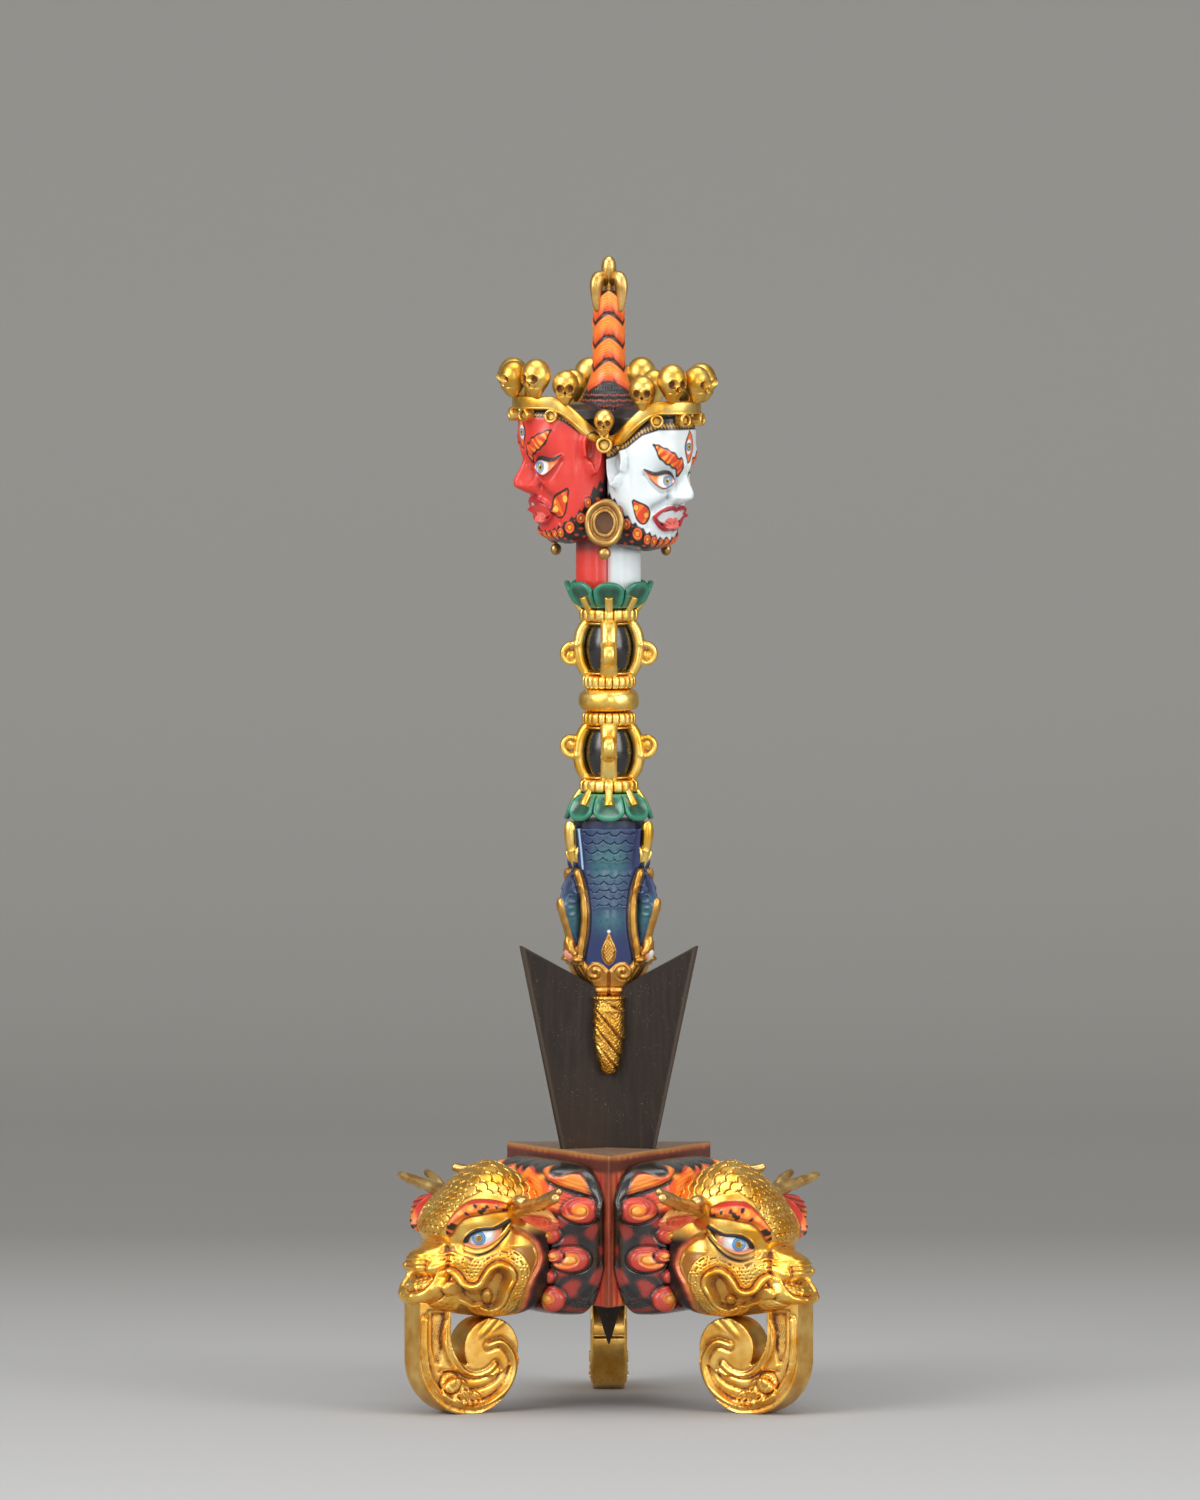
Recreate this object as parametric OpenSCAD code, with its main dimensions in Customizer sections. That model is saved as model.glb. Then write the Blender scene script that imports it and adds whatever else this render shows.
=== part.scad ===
// A phurba, the three-edged ritual dagger, resting point down in its tripod stand.
// The axis of the dagger is Z, the table is z = 0, and the corner of the block between
// the left and right stand heads faces -Y.

/* [Stand] */
// Distance from the axis to a corner of the block
block_corner_r = 31; // [30.8:0.2:33]
// Height of the block
block_h = 39.6; // [38:0.2:41]
// Height of the block's underside above the table
block_floor = 28; // [27:0.5:30]
// Distance from the axis to the flat back of a stand head
head_back = 26.3; // [25.5:0.1:27]
// Half width of a stand head across its cheeks
head_half_w = 17; // [16:0.2:18]
// Thickness of a trunk foot
trunk_t = 8.6; // [8:0.2:9.4]
// Radius of the curl of a trunk foot
trunk_r = 14.8; // [14:0.2:15.6]
// Distance from the axis to the middle of a trunk's curl
trunk_out = 44.1; // [43.5:0.1:44.7]
// Distance from the middle of a stand head to the tip of its horn
horn_reach = 41.5; // [38:0.5:44]
// Distance from the middle of a stand head to the tip of its ear
ear_reach = 39.5; // [36:0.5:42]

/* [Blade] */
// Distance from the axis to the tip of a wing
wing_r = 26.5; // [25:0.1:28]
// Height of a wing tip above the block
wing_top = 53.4; // [50:0.2:56]
// Distance from the axis to a wing edge at the top of the block
wing_seat_r = 14.3; // [13.5:0.1:14.5]
// Half thickness of a wing at its edge
wing_edge_t = 0.8; // [0.6:0.1:1.1]
// Radius of the valley between two wings at their top
valley_r = 4.5; // [4.3:0.1:4.8]
// How far the point reaches below the block
point_drop = 12; // [10:0.5:14]
// Gap between the blade and its slot
slot_gap = 0.3; // [0.2:0.05:0.4]
// How much of the blade's middle shows above the block
blade_show = 40; // [38:0.5:42]

/* [Makara] */
// Height of the makara group above the middle of the blade
makara_h = 45.2; // [44:0.2:47]
// Depth of a makara's scaled face in front of the axis
face_depth = 9.8; // [9.4:0.1:10.4]
// Distance from the axis to the edge of an ear
ear_r = 15; // [14:0.2:16]
// Length of a gold trunk on the blade
trunk_l = 20.4; // [18:0.2:23]
// Half width of a gold trunk on the blade
trunk_half_w = 4.1; // [3.7:0.1:4.4]

/* [Grip] */
// Height of a lotus
lotus_h = 7; // [6.4:0.2:8]
// Radius of a lotus at its petal tips
lotus_r = 11.5; // [10.8:0.1:12]
// Radius of a lotus at its foot
lotus_foot_r = 8; // [7.6:0.1:8.6]
// Petals of a lotus
petals = 8; // [6:1:10]
// Height of a beaded ring
ring_h = 3.6; // [3.2:0.1:4.2]
// Outer radius of a beaded ring beside a lotus
ring_r = 7.8; // [7.4:0.1:8]
// Outer radius of a beaded ring beside the round grip
grip_ring_r = 7.1; // [6.9:0.1:7.6]
// Beads in a ring
beads = 18; // [14:1:20]
// Height of a vajra cage
cage_h = 14; // [13:0.2:15]
// Radius of the black core inside a cage
core_r = 5.3; // [5:0.1:5.6]
// Distance from the axis to the outside of a cage prong
prong_r = 9.4; // [9:0.1:10]
// Width of a cage prong
prong_w = 4.6; // [4:0.1:5]
// Height of the round grip
knob_h = 6; // [5.6:0.1:6.8]
// Radius of the round grip
knob_r = 7.8; // [7.4:0.1:8.4]
// Radius of the rod that threads the stack
rod_r = 2; // [1.6:0.1:2.4]
// Gap between the rod and its bores
rod_gap = 0.1; // [0.05:0.05:0.2]

/* [Heads] */
// Turn of the three heads against the blade
heads_turn = -4; // [-8:1:4]
// Height of the chin above the foot of the upper lotus
neck_h = 16.2; // [15.4:0.2:18]
// Distance from the axis to the middle of a head
head_out = 11.5; // [11:0.1:12]
// Height of a head from chin to crown
head_h = 37.4; // [36:0.2:39]
// Half width of a head
head_side = 10.6; // [10:0.1:11]
// Depth of a brow in front of the middle of its head
brow_out = 13.4; // [12.8:0.1:14]
// Cranium radius of a large crown skull
skull_r = 3.8; // [3.4:0.1:4]
// Height of an earring without its pendant
earring_h = 13; // [11:0.5:14]
// Height of the hair column above the heads
topknot_h = 33; // [30:0.5:36]
// Radius of the hair column
topknot_r = 4; // [3.6:0.1:4.4]

/* [Hidden] */
$fn = 40;
SEAT = 0.3;
SECTOR = 120;
LEFT = 210;
RIGHT = 330;
BACK = 90;
FRONT = 270;
block_top = block_floor + block_h;
side_mid = block_corner_r / 2;
side_half = block_corner_r * sin(60);
tip_z = block_floor - point_drop;
knee_z = block_floor + 2;
knee_r = 5;
wing_tip_z = block_top + wing_top;
blade_mid_z = block_top + blade_show;
makara_z = blade_mid_z + SEAT;
lotus_low_z = makara_z + makara_h;
ring_a_z = lotus_low_z + lotus_h;
cage_low_z = ring_a_z + ring_h;
ring_b_z = cage_low_z + cage_h;
knob_z = ring_b_z + ring_h;
ring_c_z = knob_z + knob_h;
cage_high_z = ring_c_z + ring_h;
ring_d_z = cage_high_z + cage_h;
lotus_high_z = ring_d_z + ring_h;
lotus_floor = 1.6;
neck_z = lotus_high_z + lotus_floor;
chin_z = lotus_high_z + neck_h;
band_z = chin_z + head_h - 0.8;
hair_z = chin_z + head_h - 4;
finial_z = hair_z + topknot_h;
bud_top = 8.9;
ring_wall = 1.7;

SIDES = [["left", LEFT], ["right", RIGHT], ["back", BACK]];
VALLEYS = [["front", FRONT], ["right", 30], ["left", 150]];
FACES = [["red", LEFT, "firebrick"], ["white", RIGHT, "whitesmoke"], ["blue", BACK, "midnightblue"]];

// Vector helpers
function unit(v) = v / norm(v);
function sum(list, i = 0) = i == len(list) - 1 ? list[i] : list[i] + sum(list, i + 1);
function middle(points) = sum(points) / len(points);
function signed_power(x, e) = sign(x) * pow(abs(x), e);
function point(s) = [s[0], s[1], s[2]];

// A closed curve round the origin: e = 1 is an ellipse, and smaller is squarer.
function oval(a, b, n, e = 1) =
    [for (i = [0 : n - 1]) let (t = 360 * (i + 0.5) / n)
        [a * signed_power(cos(t), e), b * signed_power(sin(t), e)]];

// A smooth run of k steps between each pair of stations, which may hold any number of values.
function between(a, b, c, d, t) =
    0.5 * (2 * b + (c - a) * t + (2 * a - 5 * b + 4 * c - d) * t * t + (3 * b - a - 3 * c + d) * t * t * t);
function smooth(s, k) = let (last = len(s) - 1)
    [for (i = [0 : last - 1]) for (j = [0 : k - 1])
        between(s[max(i - 1, 0)], s[i], s[i + 1], s[min(i + 2, last)], j / k), s[last]];

// Rings square to a path of stations [x, y, z, half width across, half width towards ref].
function tube_rings(s, n, ref, e = 1) =
    [for (i = [0 : len(s) - 1])
        let (t = unit(point(s[min(i + 1, len(s) - 1)]) - point(s[max(i - 1, 0)])),
             across = unit(cross(ref, t)), up = cross(t, across))
        [for (p = oval(s[i][3], s[i][4], n, e)) point(s[i]) + across * p[0] + up * p[1]]];

// One closed solid through rings of points, with a fan on each end.
module skin(rings) {
    n = len(rings[0]);
    m = len(rings);
    points = concat([for (r = rings) each r], [middle(rings[0]), middle(rings[m - 1])]);
    sides = [for (j = [0 : m - 2]) for (i = [0 : n - 1])
        let (a = j * n + i, b = j * n + (i + 1) % n) each [[a, b + n, b], [a, a + n, b + n]]];
    ends = [for (i = [0 : n - 1]) let (b = (i + 1) % n)
        each [[m * n, i, b], [m * n + 1, (m - 1) * n + b, (m - 1) * n + i]]];
    polyhedron(points, concat(sides, ends));
}

module limb(stations, k, n, ref, e = 1) {
    skin(tube_rings(smooth(stations, k), n, ref, e));
}

// Bumps on a surface wound round a vertical axis: the rise at a turn and a height.
// Each spot is [turn, height, spread in turn, spread in height, rise, power], where a
// power of 2 is a round hill and more is a hill with a flat top.
function rise(turn, z, spots) = sum([for (s = spots)
    s[4] * exp(-pow(abs(turn - s[0]) / s[2], s[5]) - pow(abs(z - s[1]) / s[3], s[5]))]);
function mirrored(spots) = concat(spots, [for (s = spots) if (s[0] != 0) [-s[0], s[1], s[2], s[3], s[4], s[5]]]);

// A carved block wound round a vertical axis at x = 0. Each level is
// [height, front depth, half width, back depth], e squares its corners, and the
// points of a ring are drawn together at the front by the given turn.
function level_radius(turn, s, e) = let (f = abs(turn) < 90 ? s[1] : s[3],
    c = pow(abs(cos(turn)) / f, 2 / e), d = pow(abs(sin(turn)) / s[2], 2 / e)) pow(c + d, -e / 2);
module carving(levels, k, n, spots, draw, e = 0.85) {
    rings = [for (s = smooth(levels, k)) [for (i = [0 : n - 1])
        let (a = -180 + 360 * i / n, turn = a - draw * sin(a), r = level_radius(turn, s, e) + rise(turn, s[0], spots))
            [r * cos(turn), r * sin(turn), s[0]]]];
    skin(rings);
}

// A roll of even thickness through a list of points [x, y, z, radius].
module roll(stations, n = 10) {
    for (i = [0 : len(stations) - 2]) hull() for (s = [stations[i], stations[i + 1]])
        translate(point(s)) sphere(r = s[3], $fn = n);
}

module at(azimuth) {
    rotate([0, 0, azimuth]) children();
}

// The part of space that belongs to one of three equal neighbours.
module sector(z0, z1) {
    reach = 60;
    translate([0, 0, z0]) linear_extrude(z1 - z0)
        polygon([[0.2, 0], [reach, -reach * tan(SECTOR / 2)], [reach, reach * tan(SECTOR / 2)]]);
}

module bore(r, z0, z1) {
    translate([0, 0, z0]) cylinder(r = r, h = z1 - z0);
}

// Stand

// Section of the blade at height z: three thin wings with open valleys, grown by a gap.
function wing_reach(z) = z >= block_top ? wing_seat_r + (z - block_top) * (wing_r - wing_seat_r) / wing_top
    : z >= knee_z ? knee_r + (z - knee_z) * (wing_seat_r - knee_r) / (block_top - knee_z)
    : knee_r * max(0.05, (z - tip_z) / (knee_z - tip_z));
function valley_at(z) = valley_r * pow(wing_reach(z) / wing_r, 0.7);
function edge_at(z) = wing_edge_t * pow(wing_reach(z) / wing_r, 0.4);
function turned(p, a, z) = [p[0] * cos(a) - p[1] * sin(a), p[0] * sin(a) + p[1] * cos(a), z];
function star(z, gap) = let (r = wing_reach(z) + gap, t = edge_at(z) + gap, v = valley_at(z) + gap)
    [for (a = [LEFT, RIGHT, BACK])
        each [turned([r, -t], a, z), turned([r, t], a, z), turned([v, 0], a + SECTOR / 2, z)]];

module slot() {
    skin([for (z = [tip_z, knee_z, block_top, block_top + 4]) star(z, slot_gap)]);
}

module stand_block() {
    color("brown") difference() {
        translate([0, 0, block_floor]) rotate(-90) linear_extrude(block_h) circle(r = block_corner_r, $fn = 3);
        slot();
    }
}

// The hair relief that covers one side of the block and carries a head. It is
// thick behind the head and runs out in a leaf's edge before the block's corners.
mane_front = head_back - SEAT;
mane_half = side_half - 2;
mane_flat = 14.5;
mane_low = block_floor - 3.2;
mane_high = block_top - 2.6;
function mane_bulge(v) = let (a = max(0, abs(v) - mane_flat) / (mane_half - mane_flat))
    side_mid + 1.3 + (mane_front - side_mid - 1.3) * (0.5 + 0.5 * cos(180 * pow(a, 0.75)));
module mane_body() {
    rings = [for (i = [-8 : 8]) let (v = i / 8 * mane_half, u0 = side_mid + SEAT, u1 = mane_bulge(v), a = abs(i / 8),
                                     low = mane_low + 14 * pow(a, 5), high = mane_high - 9 * pow(a, 6), c = min(3, (u1 - u0) / 2.2))
        [[u0, v, max(low, block_floor + 0.4)], [u0, v, high], [u1 - c, v, high], [u1, v, high - 2 * c],
         [u1, v, low + c], [u1 - c, v, low], [u0 + 0.6, v, low]]];
    skin(rings);
}

// A curl of hair: a button with a raised rim and a boss.
module curl(r) {
    t = 0.32 * r;
    rotate_extrude() polygon([[0, -1.5], [r, -1.5], [r, 0.1], [0.8 * r, t], [0.58 * r, t * 0.8],
        [0.5 * r, t * 0.25], [0.36 * r, t * 0.25], [0.3 * r, t * 1.2], [0, t * 1.5]]);
}

// Each curl is [place across, height above the block's underside, radius].
mane_curls = [[20.6, 25.2, 3.4], [18.6, 12.4, 3.2], [15.4, 18.6, 2.3], [14.8, 12.9, 1.8], [14, 8.1, 1.8], [14.2, 2.4, 3]];
module mane() {
    color("darkred") difference() {
        union() {
            mane_body();
            for (c = mane_curls) for (s = [-1, 1]) {
                lean = atan((mane_bulge(c[0] - 1) - mane_bulge(c[0] + 1)) / 2);
                translate([mane_bulge(c[0]), s * c[0], block_floor + c[1]]) rotate([0, 0, s * lean]) rotate([0, 90, 0]) curl(c[2]);
            }
        }
        translate([mane_front, -head_half_w, jaw_z - 1]) cube([10, 2 * head_half_w, 50]);
    }
}

// A stand head, cut flat at its back: a scaled dome, a brow, a dipped bridge, a broad
// nose, full cheeks, and a long upper lip that carries the trunk.
head_turn = head_back + 9.7;
jaw_z = block_floor - 3.4;
head_levels = [[0.6, 3, 8, 6], [2.6, 8.6, 13.4, 14], [5.2, 11.4, 15.6, 14], [8.4, 13.6, 16.6, 14], [11.6, 15, 17, 14],
    [14.6, 16, 17, 14], [18, 16.7, 16.6, 14], [21.4, 17.2, 15.8, 14], [25.4, 19.2, 14.7, 14], [29, 17.8, 14, 14],
    [33, 12.8, 13, 14], [37, 8, 11.3, 14], [40, 4, 7.6, 12], [41.2, 0.6, 3, 8]];
head_spots = mirrored([
    [0, 5.6, 25, 5, 12, 3.4], [0, 15, 15, 3.4, 6, 3], [0, 20.6, 9, 2, -1.2, 2], [15, 13.6, 7, 2, 2.4, 2],
    [54, 21.2, 16, 2.6, -1.8, 2.6], [46, 28.4, 17, 2.2, 1.7, 3], [62, 12, 16, 5, 1.2, 2], [74, 2.6, 16, 4, 2, 2], [34, 1.4, 10, 4, -2, 2]]);
trunk_top = block_floor + 2;
eye_r = 2.8;
eye_at = [head_turn + 9, 11.6, jaw_z + 21];
function on_head(turn, z) = let (s = lookup_level(z), r = level_radius(turn, s, 0.85) + rise(turn, z, head_spots))
    [head_turn + r * cos(turn), r * sin(turn), jaw_z + z];
function lookup_level(z) = [for (i = [0 : 3]) lookup(z, [for (s = head_levels) [s[0], s[i]]])];
lip_line = [[3, 5, 0.6], [14, 7, 1.7], [28, 12.8, 1.7], [38, 9.2, 1.6], [46, 8.7, 1.5], [69, 14.6, 1.5], [80, 10.4, 1.4], [76, 5, 1.2]];
brow_line = [[29, 23.4, 0.9], [37, 27.6, 1.6], [58, 29.4, 1.5], [80, 29, 0.9]];
nostril_line = [[21, 13, 1.3], [14, 13.8, 1.9]];
function head_line(line, s) = [for (p = line) let (q = on_head(s * p[0], p[1])) [q[0], q[1], q[2], p[2], p[2]]];
module stand_head() {
    color("goldenrod") difference() {
        union() {
            intersection() {
                translate([head_turn, 0, jaw_z]) carving(head_levels, 1, 22, head_spots, 24);
                translate([head_back, -40, 0]) cube([60, 80, 100]);
            }
            for (s = [-1, 1]) {
                limb(head_line(lip_line, s), 1, 5, [0.6, 0.8 * s, 0]);
                roll(head_line(brow_line, s), 5);
                roll(head_line(nostril_line, s), 5);
            }
        }
        translate([trunk_out + trunk_r - 21, -trunk_t / 2 - SEAT, 0]) cube([40, trunk_t + 2 * SEAT, trunk_top + SEAT]);
        for (s = [-1, 1]) translate([eye_at.x, s * eye_at.y, eye_at.z]) sphere(r = eye_r + 0.35, $fn = 10);
    }
}
module stand_eyes() {
    color("white") for (s = [-1, 1]) translate([eye_at.x, s * eye_at.y, eye_at.z]) sphere(r = eye_r);
}

// Forked horns and drooping ears stand out sideways behind the brow.
module stand_horns() {
    u = head_turn;
    z = jaw_z;
    w = head_half_w;
    run = horn_reach - w;
    color("darkkhaki") for (s = [-1, 1]) union() {
        limb([[u - 1, s * (w - 2.8), z + 29.2, 2.2, 2.2], [u - 0.4, s * (w + 0.2 * run), z + 30.4, 2, 2],
              [u + 0.6, s * (w + 0.5 * run), z + 31.8, 1.7, 1.7], [u + 2.4, s * (w + 0.8 * run), z + 33.4, 1.4, 1.4],
              [u + 3.4, s * (horn_reach - 0.4), z + 34, 1, 1], [u + 3.5, s * horn_reach, z + 34, 0.4, 0.4]], 1, 8, [0, 0, 1]);
        limb([[u + 0.8, s * (w + 0.44 * run), z + 31.6, 1.2, 1.2], [u - 0.4, s * (w + 0.6 * run), z + 33.2, 1.2, 1.2],
              [u - 1.4, s * (w + 0.76 * run), z + 35, 0.5, 0.5]], 1, 6, [0, 0, 1]);
    }
}
module stand_ears() {
    u = head_turn;
    z = jaw_z;
    w = head_half_w;
    run = ear_reach - w;
    color("indianred") for (s = [-1, 1])
        limb([[u - 3, s * (w - 2.2), z + 26.4, 1.2, 1.6], [u - 2.4, s * (w + 0.25 * run), z + 26.4, 1.5, 3],
              [u - 1, s * (w + 0.6 * run), z + 25.6, 1.5, 3.9], [u + 0.4, s * (w + 0.88 * run), z + 24, 1.2, 3.2],
              [u + 1, s * ear_reach, z + 22.4, 0.4, 0.8]], 1, 8, [0, 0, 1]);
}

// A trunk that drops from the lip, curls under to carry the stand and ends in a bud.
// It is a slab cut to this outline, in the upright plane through the axis, with a
// channel down each side and a scroll where the band turns.
bud_r = 8;
bud_at = [trunk_out - 6.5, trunk_r + 2];
foot_drop = 0.3;
curl_mid_z = trunk_r - foot_drop;
module trunk_outline(inset) {
    r = trunk_r - inset;
    difference() {
        union() {
            intersection() {
                translate([trunk_out, curl_mid_z]) circle(r = r, $fn = 120);
                union() {
                    translate([0, -5]) square([90, curl_mid_z + 5]);
                    translate([trunk_out, 0]) square([30, 40]);
                }
            }
            translate([trunk_out + 4.6 + inset, curl_mid_z]) square([10.2 - 2 * inset, trunk_top - curl_mid_z - inset]);
        }
        translate([trunk_out - 2.5, curl_mid_z + 5.4]) circle(r = 8 + inset, $fn = 90);
        translate([trunk_out - 20, curl_mid_z + 5.4]) square([19, 12]);
        translate([trunk_out - 6, curl_mid_z + 6]) square([11.5, 14]);
    }
    translate(bud_at) circle(r = bud_r - inset);
}
module trunk_foot() {
    t = trunk_t;
    channel = 0.9;
    color("gold") intersection() {
        difference() {
            rotate([90, 0, 0]) translate([0, 0, -t / 2]) linear_extrude(t) trunk_outline(0);
            for (s = [-1, 1]) difference() {
                translate([0, s * (t / 2 - channel / 2 + 0.01) + channel / 2, 0]) rotate([90, 0, 0]) linear_extrude(channel)
                    trunk_outline(2.2);
                translate([bud_at.x, 0, bud_at.y]) rotate([90, 0, 0]) cylinder(r = bud_r - 1, h = 2 * t, center = true);
                translate([trunk_out + 4, 0, 5.6]) rotate([90, 0, 0]) cylinder(r = 4, h = 2 * t, center = true);
            }
        }
        translate([0, -20, 0]) cube([90, 40, trunk_top]);
    }
}

// Blade: its wings rise from the notch in the middle to their tips.
module wings(gap) {
    rim = [for (p = star(wing_tip_z, gap)) [p.x, p.y, (norm([p.x, p.y]) > wing_r / 2 ? wing_tip_z : blade_mid_z) + gap]];
    rings = concat([for (z = [tip_z, knee_z, block_top]) star(z, gap)], [rim]);
    n = len(rim);
    m = len(rings);
    points = concat([for (r = rings) each r], [[0, 0, tip_z - 0.6], [0, 0, blade_mid_z + gap]]);
    sides = [for (j = [0 : m - 2]) for (i = [0 : n - 1])
        let (a = j * n + i, b = j * n + (i + 1) % n) each [[a, b + n, b], [a, a + n, b + n]]];
    ends = [for (i = [0 : n - 1]) let (b = (i + 1) % n)
        each [[m * n, i, b], [m * n + 1, (m - 1) * n + b, (m - 1) * n + i]]];
    polyhedron(points, concat(sides, ends));
}
module blade() {
    color("dimgray") union() {
        wings(0);
        bore(tang_r, blade_mid_z - 6, blade_mid_z + tang_h);
    }
}
tang_r = rod_r + 0.8;
tang_h = 20;

// A gold trunk, wrapped by a groove, that lies in a valley of the blade.
module blade_trunk() {
    start = blade_mid_z - 0.4;
    spread = (wing_r / 2 - valley_r) / side_of_wing;
    shape = smooth([[0, 0.98, 3.1], [0.3, 1.02, 4], [0.6, 0.98, 4], [0.82, 0.78, 3.2], [0.96, 0.56, 2.2], [1, 0.36, 1.2]], 2);
    rings = [for (s = shape) let (z = start - trunk_l * s[0], w = trunk_half_w * s[1], back = valley_at(z) + SEAT,
                                  side = back + spread * w + 0.2)
        concat([for (a = [-90 : 22.5 : 90]) let (ridge = 1 + 0.1 * sin(2.2 * a + 900 * s[0]))
                    [side + s[2] * cos(a) * ridge, w * sin(a), z]], [[back + 0.1, 0, z]])];
    color("gold") skin([for (i = [len(rings) - 1 : -1 : 0]) rings[i]]);
}
side_of_wing = wing_r * sin(60);

// Makara group
core_gap = 0.2;
makara_in = 5;
module makara_core() {
    color("darkslateblue") difference() {
        union() {
            translate([0, 0, makara_z]) cylinder(r = makara_in - core_gap, h = makara_h - 2);
            translate([0, 0, lotus_low_z - 2]) cylinder(r = face_depth - 0.6, h = 2);
        }
        wings(SEAT / 2);
        bore(tang_r + rod_gap, makara_z - 1, blade_mid_z + tang_h + SEAT);
        bore(rod_r + rod_gap, makara_z, lotus_low_z + 1);
    }
}

// One makara face from the neck of the blade up. Each level is [height, depth of the
// scaled face, its half width, distance from the axis to the ear at the corner, place
// across of the raised rim beside the face].
makara_levels = [[0.4, 6, 3, 5.6, 3.7], [2.4, 7, 4.2, 7.2, 5], [5.4, 8.2, 5.4, 9, 6.2], [10, 9, 6, 10.6, 7.2],
    [15, 9.3, 5.1, 12, 6.3], [20, 9.3, 4.6, 13.8, 5.9], [23.6, 9, 4.8, 15, 6.2], [27, 8.9, 5.3, 14, 7.2], [30, 8.8, 5.8, 11.2, 8],
    [32.2, 8.8, 6.1, 9.4, 8.3], [34.6, 9, 6.3, 9, 7.9], [38, 9.3, 6.6, 9.2, 7.8], [43.2, 9.8, 7.2, 9.8, 8.2]];
rim_rise = 0.9;
function makara_u(depth) = depth + face_depth - 9.8;
function corner_r(r) = r + (ear_r - 15) * max(0, r - 9.8) / 5.2;
module makara_face() {
    rings = [for (s = makara_levels)
        let (z = makara_z + s[0], f = makara_u(s[1]), p = s[2], q = corner_r(s[3]), m = s[4], high = min(1, max(0, (34 - s[0]) / 4)),
             half = [[makara_in + 0.2, -25], [makara_in + 0.2, -59], [q, -59], [q * 0.97, -50]])
            concat([for (h = half) [h[0] * cos(h[1]), h[0] * sin(h[1]), z]],
                   [[f - 1.7, -m - 1, z], [f - 0.6 + rim_rise * high, -m, z], [f - 0.3, -p, z],
                    [f + 0.1, -p / 2, z], [f + 0.3, 0, z], [f + 0.1, p / 2, z], [f - 0.3, p, z],
                    [f - 0.6 + rim_rise * high, m, z], [f - 1.7, m + 1, z]],
                   [for (i = [3 : -1 : 0]) [half[i][0] * cos(half[i][1]), -half[i][0] * sin(half[i][1]), z]])];
    skin(rings);
}

// The trim carved on a makara: a bulging collar that runs out in a leaf up the face, a
// scroll on each side of it, and a gold edge up each ear.
module makara_trim() {
    z = makara_z;
    f = makara_u(9.8);
    ear = ear_r - 15;
    roll([[f - 3, 0, z + 1.6, 1.8], [f - 1.4, 0, z + 5, 1.9], [f - 0.6, 0, z + 9.4, 1.3], [f - 0.1, 0, z + 16.4, 0.4]], 5);
    for (s = [-1, 1]) {
        translate([f - 2.2, s * 3.9, z + 6.2]) rotate([0, 90, 0]) hull() {
            cylinder(r = 2.3, h = 1.6, $fn = 8);
            cylinder(r = 1.1, h = 2.3, $fn = 8);
        }
        roll([[f - 3.6, s * 5.2, z + 1.8, 1.4], [5.8, s * 8.8, z + 10, 1.1], [7.4, s * (12.7 + ear), z + 23.4, 0.8]], 5);
    }
}
module makara() {
    color("steelblue") difference() {
        intersection() {
            union() {
                makara_face();
                makara_trim();
            }
            sector(makara_z, lotus_low_z - 0.2);
        }
        for (a = [-60, 60]) rotate(a) corner_eye(0.25, $fn = 10);
        rotate(-FRONT) wings(SEAT / 2);
        bore(makara_in, makara_z - 1, lotus_low_z - 2);
        bore(face_depth - 0.4, lotus_low_z - 2.2, lotus_low_z);
    }
}
module corner_eye(gap) {
    translate([10.9, 0, makara_z + 10.6]) sphere(r = 2.3 + gap);
}
module makara_eyes() {
    color("mistyrose") for (a = [LEFT, RIGHT, BACK]) at(a) corner_eye(0);
}

// Gold horns that lie down the corners between the makaras, with a banded end.
module makara_horns() {
    z = makara_z;
    color("goldenrod") for (a = [LEFT, RIGHT, BACK]) at(a)
        limb([[11.3, 0, z + 45, 0.8, 0.8], [11.5, 0, z + 44, 1.4, 1.4], [11.5, 0, z + 41, 1.5, 1.5], [11.1, 0, z + 38, 1.3, 1.3],
              [10.9, 0, z + 37.4, 1.6, 1.6], [10.6, 0, z + 36.4, 1.2, 1.2], [10, 0, z + 33.6, 0.8, 0.8]], 1, 8, [0, 1, 0]);
}

// Grip

// A cup of petals with rounded tips, opening upwards from z = 0.
petal_t = 1.3;
lotus_side = [for (t = [0 : 0.25 : 1]) [lotus_foot_r + (lotus_r - lotus_foot_r) * sin(90 * t), lotus_h * t]];
lotus_inside = [for (i = [len(lotus_side) - 1 : -1 : 0])
    [lotus_side[i].x - petal_t, max(lotus_floor, lotus_side[i].y)]];
module lotus() {
    tip_w = lotus_r * tan(180 / petals);
    arc = 1.35 * tip_w;
    color("seagreen") difference() {
        rotate_extrude() polygon(concat(lotus_side, lotus_inside, [[0, lotus_floor], [0, 0]]));
        for (i = [0 : petals - 1]) rotate(360 * (i + 0.5) / petals) {
            translate([lotus_foot_r - 2, 0, lotus_h - arc]) rotate([90, 0, 90]) linear_extrude(8) difference() {
                translate([-tip_w, 0]) square([2 * tip_w, 2 * arc]);
                for (s = [-1, 1]) translate([s * tip_w, 0]) circle(r = arc);
            }
            translate([lotus_foot_r + 0.4, 0, -0.4]) rotate([0, 24, 0]) cylinder(r = 0.6, h = 8);
        }
        stamens(0.2);
        bore(rod_r + rod_gap, -1, 3);
    }
}

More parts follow.
